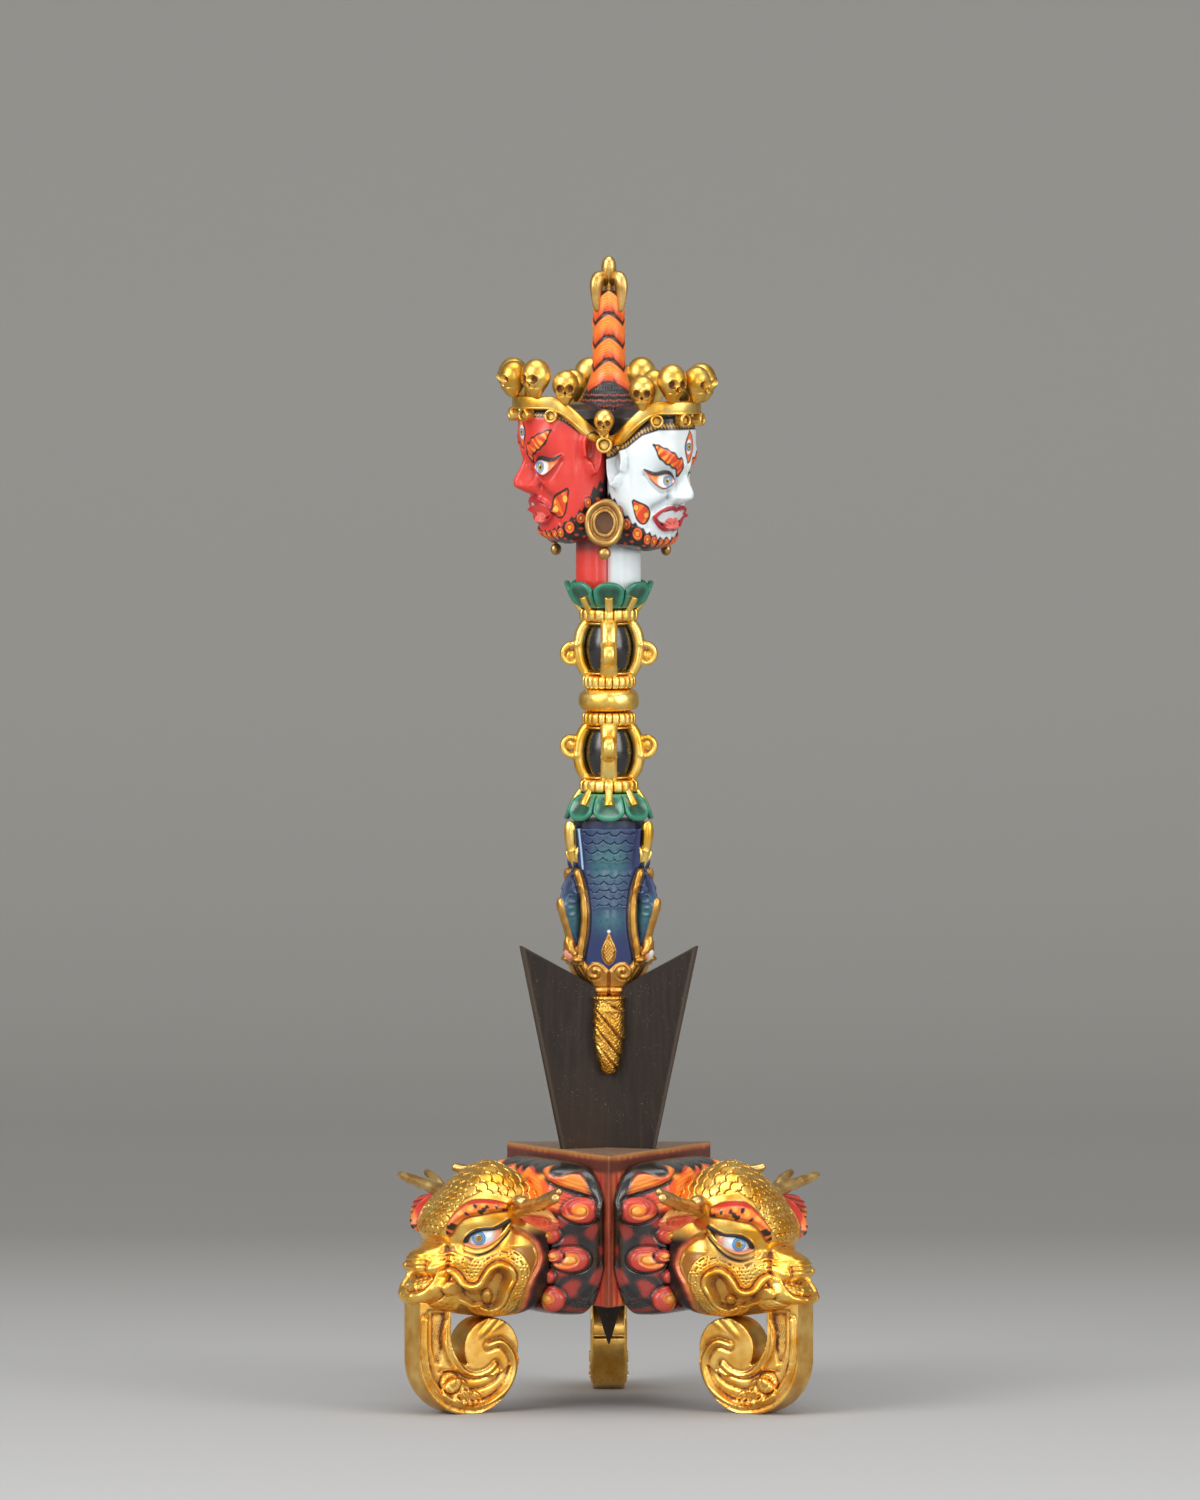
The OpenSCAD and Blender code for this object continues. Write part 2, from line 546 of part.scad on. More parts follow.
// A ring of upright beads, with the stamens that lie on the petals beside it.
groove_r = 0.8;
stamen_r = 1.05;
stamen_l = 4.8;
module bead_ring(r, stamens) {
    color("gold") difference() {
        union() {
            rotate_extrude() {
                square([r - ring_wall, ring_h]);
                intersection() {
                    translate([r - 2.3, ring_h / 2]) circle(r = 2.3);
                    square([r + 1, ring_h]);
                }
            }
            if (stamens) translate([0, 0, ring_h]) stamens(0);
        }
        for (i = [0 : beads - 1]) rotate(360 * (i + 0.5) / beads)
            translate([r + 0.2, 0, -1]) cylinder(r = groove_r, h = ring_h + 2);
        bore(rod_r + rod_gap, -1, ring_h + 1);
    }
}
module stamens(gap) {
    for (i = [0 : petals - 1]) rotate(360 * i / petals) translate([ring_r - 0.4, 0, -1.2]) rotate([0, 38, 0]) {
        cylinder(r = stamen_r + gap, h = stamen_l);
        translate([0, 0, stamen_l]) sphere(r = stamen_r + gap);
    }
}

// The black spindle seen between the prongs of a cage.
core_end_r = 4.2;
module spindle(grow) {
    mid = cage_h / 2;
    swell = core_r - core_end_r;
    arc = (pow(swell, 2) + mid * mid) / (2 * swell);
    rotate_extrude() intersection() {
        translate([core_r - arc, mid]) circle(r = arc + grow, $fn = 180);
        square([30, cage_h]);
    }
}
module cage_core() {
    color("black") difference() {
        spindle(0);
        bore(rod_r + rod_gap, -1, cage_h + 1);
    }
}

// Four crescent prongs that bow out round the core, each with a curl on its back.
prong_foot = 7;
curl_r = 2.6;
curl_t = 2.2;
module cage_prongs() {
    mid = cage_h / 2;
    swell = prong_r - prong_foot;
    arc = (pow(swell, 2) + mid * mid) / (2 * swell);
    color("gold") difference() {
        for (a = [0 : 90 : 270]) rotate(a) {
            rotate([90, 0, 0]) translate([0, 0, -prong_w / 2]) linear_extrude(prong_w) intersection() {
                translate([prong_r - arc, mid]) circle(r = arc, $fn = 120);
                translate([core_end_r, 0]) square([30, cage_h]);
            }
            translate([prong_r + 0.8, curl_t / 2, mid - 2.1]) rotate([90, 0, 0]) difference() {
                cylinder(r = curl_r, h = curl_t);
                translate([0.2, 0, -1]) cylinder(r = 0.35 * curl_r, h = curl_t + 2);
            }
        }
        spindle(0.1);
    }
}

module grip_knob() {
    color("goldenrod") difference() {
        rotate_extrude() {
            translate([knob_r - knob_h / 2, knob_h / 2]) circle(r = knob_h / 2);
            square([knob_r - knob_h / 2, knob_h]);
        }
        bore(rod_r + rod_gap, -1, knob_h + 1);
    }
}

rod_low = blade_mid_z + tang_h + 2 * SEAT;
rod_high = hair_z + 8;
module rod() {
    color("silver") bore(rod_r, rod_low, rod_high);
}

// Heads

// A wrathful face: full brows, sunk eyes, a hooked nose, parted lips and a round chin.
chin_levels = [[0, 2, 2.6, 4], [1, 6.2, 6.4, 8], [2.4, 7.2, 7.8, 9], [4.2, 7.2, 8.8, 9], [5.6, 7.3, 9.2, 9], [6.8, 7.5, 9.6, 9],
    [8, 7.9, 9.8, 9.5], [9.2, 8.6, 10, 9.5], [10.4, 9.5, 10.2, 10], [11.8, 10.2, 10.4, 10], [13.4, 10.8, 10.5, 10],
    [15, 11.2, 10.6, 10], [16.8, 11.4, 10.6, 10], [18.6, 11.5, 10.6, 10], [20.2, 11.6, 10.6, 10],
    [21.6, 12.2, 10.6, 10], [23.2, 13, 10.6, 10], [24.8, 13.4, 10.6, 10], [27, 13.8, 10.4, 10], [30, 14, 10.2, 10],
    [33.6, 13.4, 9.2, 9], [36.2, 10.4, 6.8, 7], [37.4, 4, 2.6, 4]];
face_spots = mirrored([
    [0, 14.4, 13, 2.3, 4.2, 2.6], [0, 18.6, 8, 3, 1.6, 2], [15, 13.6, 7, 1.6, 1.9, 2.4], [0, 10.4, 24, 0.9, 2.4, 3],
    [0, 4.9, 20, 1, 2, 3], [0, 1.6, 20, 1.5, 1.2, 2.6], [0, 7.8, 22, 1.5, -0.7, 3], [37, 18.8, 22, 3.2, -1.5, 4],
    [37, 18.8, 16, 1.9, 1.2, 3], [30, 24.2, 20, 1.5, 1.4, 3], [0, 25.6, 7, 2.6, 0.9, 3], [0, 22.6, 6, 1.2, -0.8, 2],
    [54, 10.6, 13, 3, 1.3, 3], [48, 8.6, 5, 1.6, -0.9, 2], [92, 21, 9, 4.6, 1.6, 4], [92, 21, 5, 2.6, -1.3, 3],
    [84, 6.6, 7, 1.8, 1.1, 3], [68, 4.6, 7, 1.6, 1, 3], [50, 3.4, 7, 1.5, 0.9, 3]]);
neck_r = 5.3;
neck_out = 3.7;
neck_flare = 2.4;
module head(paint) {
    scale_z = head_h / 37.4;
    levels = [for (s = chin_levels) [s[0] * scale_z, s[1] + brow_out - 13.4, s[2] + head_side - 10.6, s[3]]];
    color(paint) difference() {
        intersection() {
            union() {
                translate([head_out, 0, chin_z]) carving(levels, 1, 24, face_spots, 36);
                translate([neck_out, 0, neck_z]) cylinder(r1 = neck_r - 1.6, r2 = neck_r, h = neck_flare);
                translate([neck_out, 0, neck_z + neck_flare]) cylinder(r = neck_r, h = chin_z + 8 - neck_z - neck_flare);
            }
            sector(neck_z, band_z + 20);
        }
        bore(rod_r + rod_gap, neck_z - 1, band_z + 20);
        bore(hair_foot_r + 0.15, hair_z, band_z + 20);
    }
}

// A crown lies round each forehead: a band that is high at the brow and falls to a
// point where two heads meet. Small skulls stand on it and cups hang below it.
function crown_at(a, grow) = let (r = 1 / norm([cos(a) / (brow_out + 1.8 + grow), sin(a) / (head_side + 1.1 + grow)]))
    [head_out + r * cos(a), r * sin(a)];
function band_fall(a) = let (t = min(1, max(0, (abs(a) - 38) / 70))) 9 * t * t * (3 - 2 * t);
module skull(r) {
    difference() {
        union() {
            sphere(r = r);
            translate([0.12 * r, 0, -0.9 * r]) sphere(r = 0.66 * r);
        }
        for (s = [-1, 1]) translate([0.9 * r, s * 0.38 * r, -0.3 * r]) sphere(r = 0.3 * r);
        translate([0.95 * r, 0, -0.72 * r]) sphere(r = 0.16 * r);
    }
}
module cup(r) {
    rotate([0, 90, 0]) rotate_extrude() polygon([[0, -1.6], [r, -1.6], [r, 1.4], [0.68 * r, 1.4], [0.6 * r, 0.5], [0, 0.5]]);
}
crown_skulls = [[0, 3.6], [28, 3.8], [60, 3.3]];
crown_cups = [14, 44];
module crown() {
    end = 112;
    path = [for (a = [-end : 14 : end]) let (p = crown_at(a, 0)) [p[0], p[1], band_z - band_fall(a), 1, 1.9]];
    color("gold") intersection() {
        union() {
            skin(tube_rings(path, 6, [0, 0, 1], 0.7));
            for (c = crown_skulls) for (a = c[0] == 0 ? [0] : [-c[0], c[0]]) {
                r = c[1] * skull_r / 3.8;
                p = crown_at(a, 2 - abs(a) / 50);
                translate([p[0], p[1], band_z + 2.4 + r - band_fall(a)]) rotate(a) skull(r);
            }
            for (c = crown_cups) for (a = [-c, c]) {
                p = crown_at(a, 0.4);
                translate([p[0], p[1], band_z - 3.2 - band_fall(a)]) rotate(a) cup(1.7);
            }
        }
        sector(band_z - 30, band_z + 20);
    }
}

// Where two heads meet, a small skull and a cup close the gap between the bands.
seam_out = 16.3;
module seam_jewels() {
    z = band_z - band_fall(112);
    color("gold") for (v = VALLEYS) at(v[1] + heads_turn) intersection() {
        union() {
            translate([seam_out + 1.2, 0, z + 3.6]) skull(2.6);
            translate([seam_out + 1, 0, z - 1.6]) cup(2.1);
            translate([seam_out, -1.3, z - 2]) cube([1.2, 2.6, 4.6]);
        }
        translate([seam_out, -5, z - 10]) cube([10, 10, 20]);
    }
}

// Earrings hang where two heads meet: an oval ring with a cup and a bead below.
earring_out = 15.8;
seam_in = 10;
module earring() {
    half = earring_h / 2;
    translate([earring_out, 0, chin_z + 6.4]) rotate([0, 90, 0]) {
        difference() {
            linear_extrude(2) resize([earring_h, earring_h * 0.76]) circle(r = half, $fn = 28);
            translate([0, 0, 0.9]) linear_extrude(3) resize([earring_h * 0.5, earring_h * 0.34]) circle(r = half / 2, $fn = 24);
        }
        translate([half + 1.2, 0, 1]) sphere(r = 1.7);
    }
    translate([seam_in, 0, chin_z + 6.4]) rotate([0, 90, 0]) cylinder(r = 1.4, h = earring_out - seam_in + 0.5);
}
module earrings() {
    color("darkgoldenrod") for (v = VALLEYS) at(v[1] + heads_turn) earring();
}

// Hair drawn up into a column that swells at its foot.
hair_foot_r = 7.6;
module topknot() {
    h = topknot_h;
    r = topknot_r;
    color("darkorange") difference() {
        rotate_extrude() polygon([[0, 0], [hair_foot_r, 0], [hair_foot_r, 1.6], [7.2, 3.6], [6.6, 5.5], [5.6, 8], [4.8, 10], [r + 0.3, 12.4],
            [r, 16], [r - 0.3, h - 4], [r - 0.9, h - 0.6], [r - 1.6, h - 0.1], [0, h - 0.1]]);
        bore(rod_r + rod_gap, -1, 8.3);
    }
}

// A half vajra on the hair: a bud among four prongs that rise from the column and close.
bud_w = 1.6;
module finial() {
    r = topknot_r + 0.6;
    color("goldenrod") union() {
        cylinder(r1 = 2.3, r2 = 1.2, h = 2.4);
        translate([0, 0, 2.2]) cylinder(r1 = 1.2, r2 = bud_w, h = 2);
        translate([0, 0, 4.2]) cylinder(r = bud_w, h = bud_top - 4.2 - bud_w);
        translate([0, 0, bud_top - bud_w]) sphere(r = bud_w);
        for (a = [45 : 90 : 315]) rotate(a)
            limb([[r - 0.3, 0, -6.6, 0.5, 0.4], [r + 0.2, 0, -4, 1, 0.7], [r + 0.7, 0, -1, 1.3, 0.9], [r + 0.9, 0, 1.4, 1.5, 1.2],
                  [r + 0.2, 0, 3.4, 1.5, 1.3], [r - 1.6, 0, 3.8, 1.3, 1.2], [r - 3, 0, 2.4, 1, 0.9], [1.2, 0, 1.4, 0.6, 0.6]], 1, 6, [0, 1, 0]);
    }
}

stand_block();
for (s = SIDES) {
    at(s[1]) mane();
    at(s[1]) stand_head();
    at(s[1]) stand_eyes();
    at(s[1]) stand_horns();
    at(s[1]) stand_ears();
    at(s[1]) trunk_foot();
}
blade();
for (v = VALLEYS) {
    at(v[1]) blade_trunk();
    at(v[1]) makara();
}
makara_horns();
makara_eyes();
makara_core();
translate([0, 0, ring_a_z]) mirror([0, 0, 1]) lotus();  // lotus_lower
translate([0, 0, cage_low_z]) mirror([0, 0, 1]) bead_ring(ring_r, true);  // beads_lower
translate([0, 0, ring_b_z]) mirror([0, 0, 1]) cage_core();  // cage_core_lower
translate([0, 0, ring_b_z]) mirror([0, 0, 1]) cage_prongs();  // cage_prongs_lower
translate([0, 0, ring_b_z]) bead_ring(grip_ring_r, false);  // beads_under_grip
translate([0, 0, knob_z]) grip_knob();
translate([0, 0, ring_c_z]) bead_ring(grip_ring_r, false);  // beads_over_grip
translate([0, 0, cage_high_z]) cage_core();  // cage_core_upper
translate([0, 0, cage_high_z]) cage_prongs();  // cage_prongs_upper
translate([0, 0, ring_d_z]) bead_ring(ring_r, true);  // beads_upper
translate([0, 0, lotus_high_z]) lotus();  // lotus_upper
rod();
for (f = FACES) {
    at(f[1] + heads_turn) head(f[2]);
    at(f[1] + heads_turn) crown();
}
seam_jewels();
earrings();
translate([0, 0, hair_z]) topknot();
translate([0, 0, finial_z]) finial();
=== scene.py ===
# %% [markdown]
# This lesson dresses a phurba, the three-edged ritual dagger that stands point down in
# a tripod stand. The construction comes packed as a frame of plain solids, one object
# for each node, all in metres. Here each piece gets its carving, its paint and its
# gilding. We load the frame first.

# %% Load the frame
import math

import bpy
import numpy as np
from mathutils import Matrix, Vector
from numpy import clip, cos, hypot, interp, pi, sin


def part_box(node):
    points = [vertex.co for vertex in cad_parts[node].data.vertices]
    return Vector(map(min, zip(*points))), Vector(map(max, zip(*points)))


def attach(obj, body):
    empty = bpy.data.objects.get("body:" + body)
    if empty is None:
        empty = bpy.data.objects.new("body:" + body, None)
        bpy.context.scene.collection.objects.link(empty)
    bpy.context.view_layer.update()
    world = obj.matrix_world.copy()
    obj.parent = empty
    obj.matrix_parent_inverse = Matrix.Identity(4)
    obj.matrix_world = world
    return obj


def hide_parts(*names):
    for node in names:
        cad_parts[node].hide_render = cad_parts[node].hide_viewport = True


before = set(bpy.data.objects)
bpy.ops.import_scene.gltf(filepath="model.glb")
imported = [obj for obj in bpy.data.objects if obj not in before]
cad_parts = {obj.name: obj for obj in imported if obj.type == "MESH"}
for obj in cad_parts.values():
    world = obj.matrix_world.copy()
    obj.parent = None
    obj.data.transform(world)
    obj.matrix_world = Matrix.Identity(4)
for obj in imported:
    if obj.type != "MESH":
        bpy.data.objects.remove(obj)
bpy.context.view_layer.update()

MM = 0.001

# %% [markdown]
# The object is three-fold. The stand heads and the painted faces look to the left, to
# the right and to the back. The blade's valleys, with their gold trunks, lie between
# them. The heights of the stack are read from the frame, so that every piece sits
# where its solid sits.

# %% Directions and heights
LEFT, RIGHT, BACK = 210, 330, 90
TWIST = 4  # the upper dagger is turned this much against the blade
VALLEYS = {"front": 270, "right": 30, "left": 150}
SIDES = {"left": LEFT, "right": RIGHT, "back": BACK}
FACES = {"red": LEFT - TWIST, "white": RIGHT - TWIST, "blue": BACK - TWIST}


def span(node):
    """The lowest and highest point of a node, in mm."""
    low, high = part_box(node)
    return low[2] / MM, high[2] / MM


BLOCK_LOW, BLOCK_TOP = span("stand_block")
TRUNK_LOW, TRUNK_TOP = span("blade_trunk_front")
MAKARA_LOW, MAKARA_TOP = span("makara_front")
CHIN = span("head_red")[1] - 37.4
HAIR, HAIR_TOP = span("topknot")
TOP = span("finial")[1]
print("block", BLOCK_LOW, BLOCK_TOP, "makara", MAKARA_LOW, MAKARA_TOP, "chin", CHIN, "top", TOP)

# %% [markdown]
# A carved form is easiest to think of as a ball of clay. We roll a fine grid up into a
# sphere, merge its seam, read the turn and the height of each of its vertices, and let
# a small function say where that vertex goes. One helper then makes heads, petals, horns and
# trunks, and each form stays closed at both poles. Sizes are in mm until the end.

# %% Clay
def only(piece):
    bpy.ops.object.select_all(action="DESELECT")
    piece.select_set(True)
    bpy.context.view_layer.objects.active = piece


def points(piece):
    p = np.empty(len(piece.data.vertices) * 3)
    piece.data.vertices.foreach_get("co", p)
    return p.reshape(-1, 3)


def place(piece, p):
    piece.data.vertices.foreach_set("co", np.ascontiguousarray(p, dtype=float).ravel())
    piece.data.update()


def normals(piece):
    n = np.empty(len(piece.data.vertices) * 3)
    piece.data.vertices.foreach_get("normal", n)
    return n.reshape(-1, 3)


def clay(name, around, along, shape):
    bpy.ops.object.select_all(action="DESELECT")
    bpy.ops.mesh.primitive_grid_add(x_subdivisions=around, y_subdivisions=along, size=2)
    piece = bpy.context.object
    piece.name = name
    p = points(piece)
    a, b = (p[:, 0] + 1) * pi, (p[:, 1] + 1) * pi / 2
    place(piece, np.stack([cos(a) * sin(b), sin(a) * sin(b), -cos(b)], -1))
    bpy.ops.object.mode_set(mode="EDIT")
    bpy.ops.mesh.select_all(action="SELECT")
    bpy.ops.mesh.remove_doubles(threshold=1e-5)
    bpy.ops.object.mode_set(mode="OBJECT")
    p = points(piece)
    height = np.arccos(clip(-p[:, 2], -1, 1)) / pi
    place(piece, shape(turn_of(p), height))
    return piece


def smooth(stations, t):
    """A smooth run through rows of numbers, read at t from 0 to 1."""
    s = np.array(stations, float)
    last = len(s) - 1
    x = clip(t, 0, 1) * last
    i = np.minimum(x.astype(int), last - 1)
    f = (x - i)[:, None]
    a, b, c, d = (s[clip(i + k, 0, last)] for k in (-1, 0, 1, 2))
    return 0.5 * (2 * b + (c - a) * f + (2 * a - 5 * b + 4 * c - d) * f ** 2
                  + (3 * b - a - 3 * c + d) * f ** 3)


def soft(h, heights, values, rub=0.45):
    """A table read at h with its corners rubbed round over about rub mm."""
    fine = np.arange(heights[0] - 3, heights[-1] + 3, 0.1)
    kernel = bump(np.arange(-3 * rub, 3 * rub + 0.05, 0.1), 0, rub)
    row = np.convolve(np.pad(interp(fine, heights, values), len(kernel), mode="edge"),
                      kernel / kernel.sum(), "same")[len(kernel):-len(kernel)]
    return interp(h, fine, row)


# %% [markdown]
# Turns and radii come up everywhere, because the object is three-fold round its axis.
# A few small helpers say them once.

# %% Turns
def cos_sin(turn):
    a = np.radians(turn)
    return cos(a), sin(a)


def turn_of(p, axis=0.0):
    """The turn of points in degrees, seen from an upright axis at x = axis."""
    return np.degrees(np.arctan2(p[:, 1], p[:, 0] - axis))


def polar(r, turn, z, axis=0.0):
    """The places at a distance and a turn from an upright axis at x = axis."""
    c, s = cos_sin(turn)
    return np.stack([axis + r * c, r * s, z], -1)


def off_nearest(turn, first, spacing):
    """The turn away from the nearest of the places that follow the first at a spacing."""
    return np.mod(turn - first + spacing / 2, spacing) - spacing / 2


# %% [markdown]
# A roll is clay laid along a line of stations, each with its own width and depth. It
# makes horns, prongs and curls, which on the real piece are cut from the solid.

# %% Rolls and balls
def unit(v):
    return v / np.maximum(np.linalg.norm(v, axis=-1, keepdims=True), 1e-9)


def roll(stations, ref=(0, 0, 1), cap=0.08, square=1.0):
    """A roll of clay along stations [x, y, z, half width across, half width towards ref]."""
    def shape(turn, t):
        here = smooth(stations, t)
        along = unit(smooth(stations, t + 0.01)[:, :3] - smooth(stations, t - 0.01)[:, :3])
        across = unit(np.cross(np.array(ref, float), along))
        up = np.cross(along, across)
        close = 1 - clip(np.minimum(t, 1 - t) / cap, 0, 1)
        round_end = dome(close, 1)
        c, s = cos_sin(turn)
        c, s = np.sign(c) * abs(c) ** square, np.sign(s) * abs(s) ** square
        return (here[:, :3] + across * (here[:, 3] * c * round_end)[:, None]
                + up * (here[:, 4] * s * round_end)[:, None])
    return shape


def ball(name, around, along, centre, radii, poles="z"):
    """A ball of clay with a radius for each direction and its poles along z or y."""
    def shape(turn, t):
        c, s = cos_sin(turn)
        ring, pole = sin(pi * t), cos(pi * t)
        (x, y, z), (rx, ry, rz) = centre, radii
        if poles == "y":
            return np.stack([x + rx * c * ring, y + ry * pole, z + rz * s * ring], -1)
        return np.stack([x + rx * c * ring, y + ry * s * ring, z - rz * pole], -1)
    return clay(name, around, along, shape)


# %% [markdown]
# Clay is joined by remeshing: several pieces become one skin with even faces, as if
# the seams had been rubbed smooth. A relief then pushes the skin out or in along its
# own normals, and `step` is the soft edge that all reliefs and paint lines use.

# %% Joining, relief and repeats
def apply(piece, kind, **settings):
    only(piece)
    modifier = piece.modifiers.new(kind.lower(), kind)
    for key, value in settings.items():
        setattr(modifier, key, value)
    bpy.ops.object.modifier_apply(modifier=modifier.name)


def join(name, parts):
    bpy.ops.object.select_all(action="DESELECT")
    for part in parts:
        part.select_set(True)
    bpy.context.view_layer.objects.active = parts[0]
    if len(parts) > 1:
        bpy.ops.object.join()
    parts[0].name = name
    return parts[0]


def fuse(name, parts, voxel, rub=2):
    piece = join(name, parts)
    apply(piece, "REMESH", mode="VOXEL", voxel_size=voxel)
    if rub:
        apply(piece, "SMOOTH", factor=0.5, iterations=rub)
    return piece


def relief(piece, height):
    p = points(piece)
    place(piece, p + normals(piece) * height(p)[:, None])


def step(x, low, high):
    t = clip((x - low) / (high - low), 0, 1)
    return t * t * (3 - 2 * t)


def bump(x, centre, width):
    return np.exp(-((x - centre) / width) ** 2)


def dome(d, r):
    """The height of a round dome of radius r at the distance d, 1 in its middle."""
    return np.sqrt(clip(1 - (d / r) ** 2, 0, 1))


# %% [markdown]
# What repeats is modelled once and copied, each copy with its own mesh. `to_frame`
# turns a finished piece to its place, scales it to metres and gives it to its body.

# %% Copies and places
def turned(piece, azimuth, x=0.0, y=0.0, z=0.0):
    piece.data.transform(Matrix.Rotation(math.radians(azimuth), 4, "Z") @ Matrix.Translation((x, y, z)))
    return piece


def mirrored(piece):
    """The same piece on the other side of the plane y = 0, its faces pointing outwards."""
    only(piece)
    bpy.ops.object.duplicate()
    twin = bpy.context.object
    twin.data.transform(Matrix.Scale(-1, 4, (0, 1, 0)))
    twin.data.flip_normals()
    return twin


def twin_of(piece, name):
    only(piece)
    bpy.ops.object.duplicate()
    bpy.context.object.name = name
    return bpy.context.object


def three_of(first, node, ending, sides, *fate, sharp):
    """Puts a copy of a pattern on each of its nodes and takes the pattern away."""
    for side, azimuth in sides.items():
        to_frame(twin_of(first, node + side + ending), *fate, [node + side], azimuth, sharp)
    only(first)
    bpy.ops.object.delete()


def to_frame(piece, body, slot, material, nodes=(), azimuth=0, sharp=50):
    """Turns a finished piece to its place in metres, gives it its material and body, and hides the solids
    it stands for.
    """
    piece.data.transform(Matrix.Scale(MM, 4) @ Matrix.Rotation(math.radians(azimuth), 4, "Z"))
    only(piece)
    bpy.ops.object.shade_smooth_by_angle(angle=math.radians(sharp))
    piece.data.materials.clear()
    piece.data.materials.append(material)
    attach(piece, body)
    if nodes:
        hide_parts(*nodes)
    return piece


def own_mesh(node, name):
    """A copy of a node's solid in mm, with its loose triangles merged."""
    piece = twin_of(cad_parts[node], name)
    piece.parent = None
    for key in list(piece.keys()):
        del piece[key]
    piece.data.transform(Matrix.Scale(1 / MM, 4))
    bpy.ops.object.mode_set(mode="EDIT")
    bpy.ops.mesh.select_all(action="SELECT")
    bpy.ops.mesh.remove_doubles(threshold=0.001)
    bpy.ops.mesh.dissolve_limited(angle_limit=math.radians(2))
    bpy.ops.object.mode_set(mode="OBJECT")
    return piece


# %% [markdown]
# The camera stands about four metres off and a little above the dagger's middle, so
# the top of the stand's block is just seen. The picture shows 391 mm of height at the
# dagger. The floor is one sheet that is pale at the front and sweeps up behind to a grey
# wall.

# %% Camera
PICTURE_H = 391 * MM
CAMERA_FAR = 4.0
CAMERA_UP = math.radians(3.3)
aim = np.array([-2.3, 0, 171.2]) * MM
away = np.array([0, -math.cos(CAMERA_UP), math.sin(CAMERA_UP)])
bpy.ops.object.camera_add(location=aim + away * CAMERA_FAR, rotation=(math.radians(90) - CAMERA_UP, 0, 0))
camera = bpy.context.object
camera.data.sensor_fit = "VERTICAL"
camera.data.sensor_height = 24
camera.data.lens = 24 * CAMERA_FAR / PICTURE_H
bpy.context.scene.camera = camera
print("lens", round(camera.data.lens, 1), "mm")


# %% [markdown]
# Materials are built from nodes. `tone` turns a colour picked by eye into the linear
# numbers the renderer wants. `add` makes one node with its settings, links and ramp
# colours, and `feed` links or sets the inputs of a node that is there already.

# %% Colours and nodes
def tone(code):
    """An sRGB hex value as a linear colour."""
    c = np.array([int(code[i:i + 2], 16) for i in (1, 3, 5)]) / 255
    c = np.where(c < 0.04045, c / 12.92, ((c + 0.055) / 1.055) ** 2.4)
    return (*c, 1.0)


def feed(tree, node, inputs):
    """Links each input to another node's output, or sets it to a value."""
    for key, value in inputs.items():
        if isinstance(value, bpy.types.NodeSocket):
            tree.links.new(value, node.inputs[key])
        else:
            node.inputs[key].default_value = value


def add(tree, kind, out=None, inputs={}, stops=(), **settings):
    """Adds a node and gives it back, or its output called out."""
    n = tree.nodes.new("ShaderNode" + kind)
    for key, value in settings.items():
        setattr(n, key, value)
    feed(tree, n, inputs)
    if stops:
        while len(n.color_ramp.elements) < len(stops):
            n.color_ramp.elements.new(0.5)
        for element, (position, code) in zip(n.color_ramp.elements, stops):
            element.position, element.color = position, tone(code)
    return n.outputs[out] if out else n


def new_material(name):
    material = bpy.data.materials.new(name)
    material.use_nodes = True
    return material, material.node_tree, material.node_tree.nodes["Principled BSDF"]


# %% [markdown]
# The paper sweep is one grid whose far rows are bent upwards on a quarter circle. Its
# colour follows the depth and carries painted light: pale at the front and darker at the
# bend, so the wall stays a calm grey at any light. Seen from its back, the paper lets the
# camera through, so the dagger can be viewed from behind.

# %% Floor sweep
SWEEP_BACK, SWEEP_R, FLOOR_HALF, WALL_H = 1.0, 0.5, 3.0, 3.0
bpy.ops.object.select_all(action="DESELECT")
bpy.ops.mesh.primitive_grid_add(x_subdivisions=1, y_subdivisions=60, size=2)
floor = bpy.context.object
floor.name = "floor"
p = points(floor)
run = (p[:, 1] + 1) / 2 * (FLOOR_HALF + SWEEP_BACK + SWEEP_R * math.pi / 2 + WALL_H) - FLOOR_HALF
bend = clip((run - SWEEP_BACK) / SWEEP_R, 0, math.pi / 2)
up = np.maximum(run - SWEEP_BACK - SWEEP_R * math.pi / 2, 0)
place(floor, np.stack([p[:, 0] * FLOOR_HALF, np.minimum(run, SWEEP_BACK) + SWEEP_R * sin(bend),
                       SWEEP_R * (1 - cos(bend)) + up], -1))
for polygon in floor.data.polygons:
    polygon.use_smooth = True
paper, tree, shader = new_material("studio paper")
far = add(tree, "SeparateXYZ", "Y", {"Vector": add(tree, "TexCoord", "Object")})
far = add(tree, "MapRange", "Result", {"Value": far, "From Min": -0.3, "From Max": 1.5})
# painted light: pale at the front, darker at the bend, lighter again up the wall
painted_falloff = add(tree, "ValToRGB", "Color", {"Fac": far},
           [(0.0, "#a9a9aa"), (0.25, "#9a9a9a"), (0.45, "#7c7b79"), (0.75, "#858481"), (1.0, "#868582")])
feed(tree, shader, {"Base Color": painted_falloff, "Roughness": 0.9, "Specular IOR Level": 0.2})
behind = add(tree, "Math", "Value",
             {0: add(tree, "NewGeometry", "Backfacing"), 1: add(tree, "LightPath", "Is Camera Ray")},
             operation="MULTIPLY")
seen = add(tree, "MixShader", "Shader",
           {"Fac": behind, 1: shader.outputs["BSDF"], 2: add(tree, "BsdfTransparent", "BSDF")})
tree.links.new(seen, tree.nodes["Material Output"].inputs["Surface"])
floor.data.materials.append(paper)
print("floor rows:", len(floor.data.polygons))

# %% [markdown]
# Gilding only looks like gold when it has something to mirror. A large soft lamp on
# the left gives the long highlights, a weaker one on the right opens the shadows, one
# from above draws the top edges, and the room itself is a mid grey that is darker low
# down.

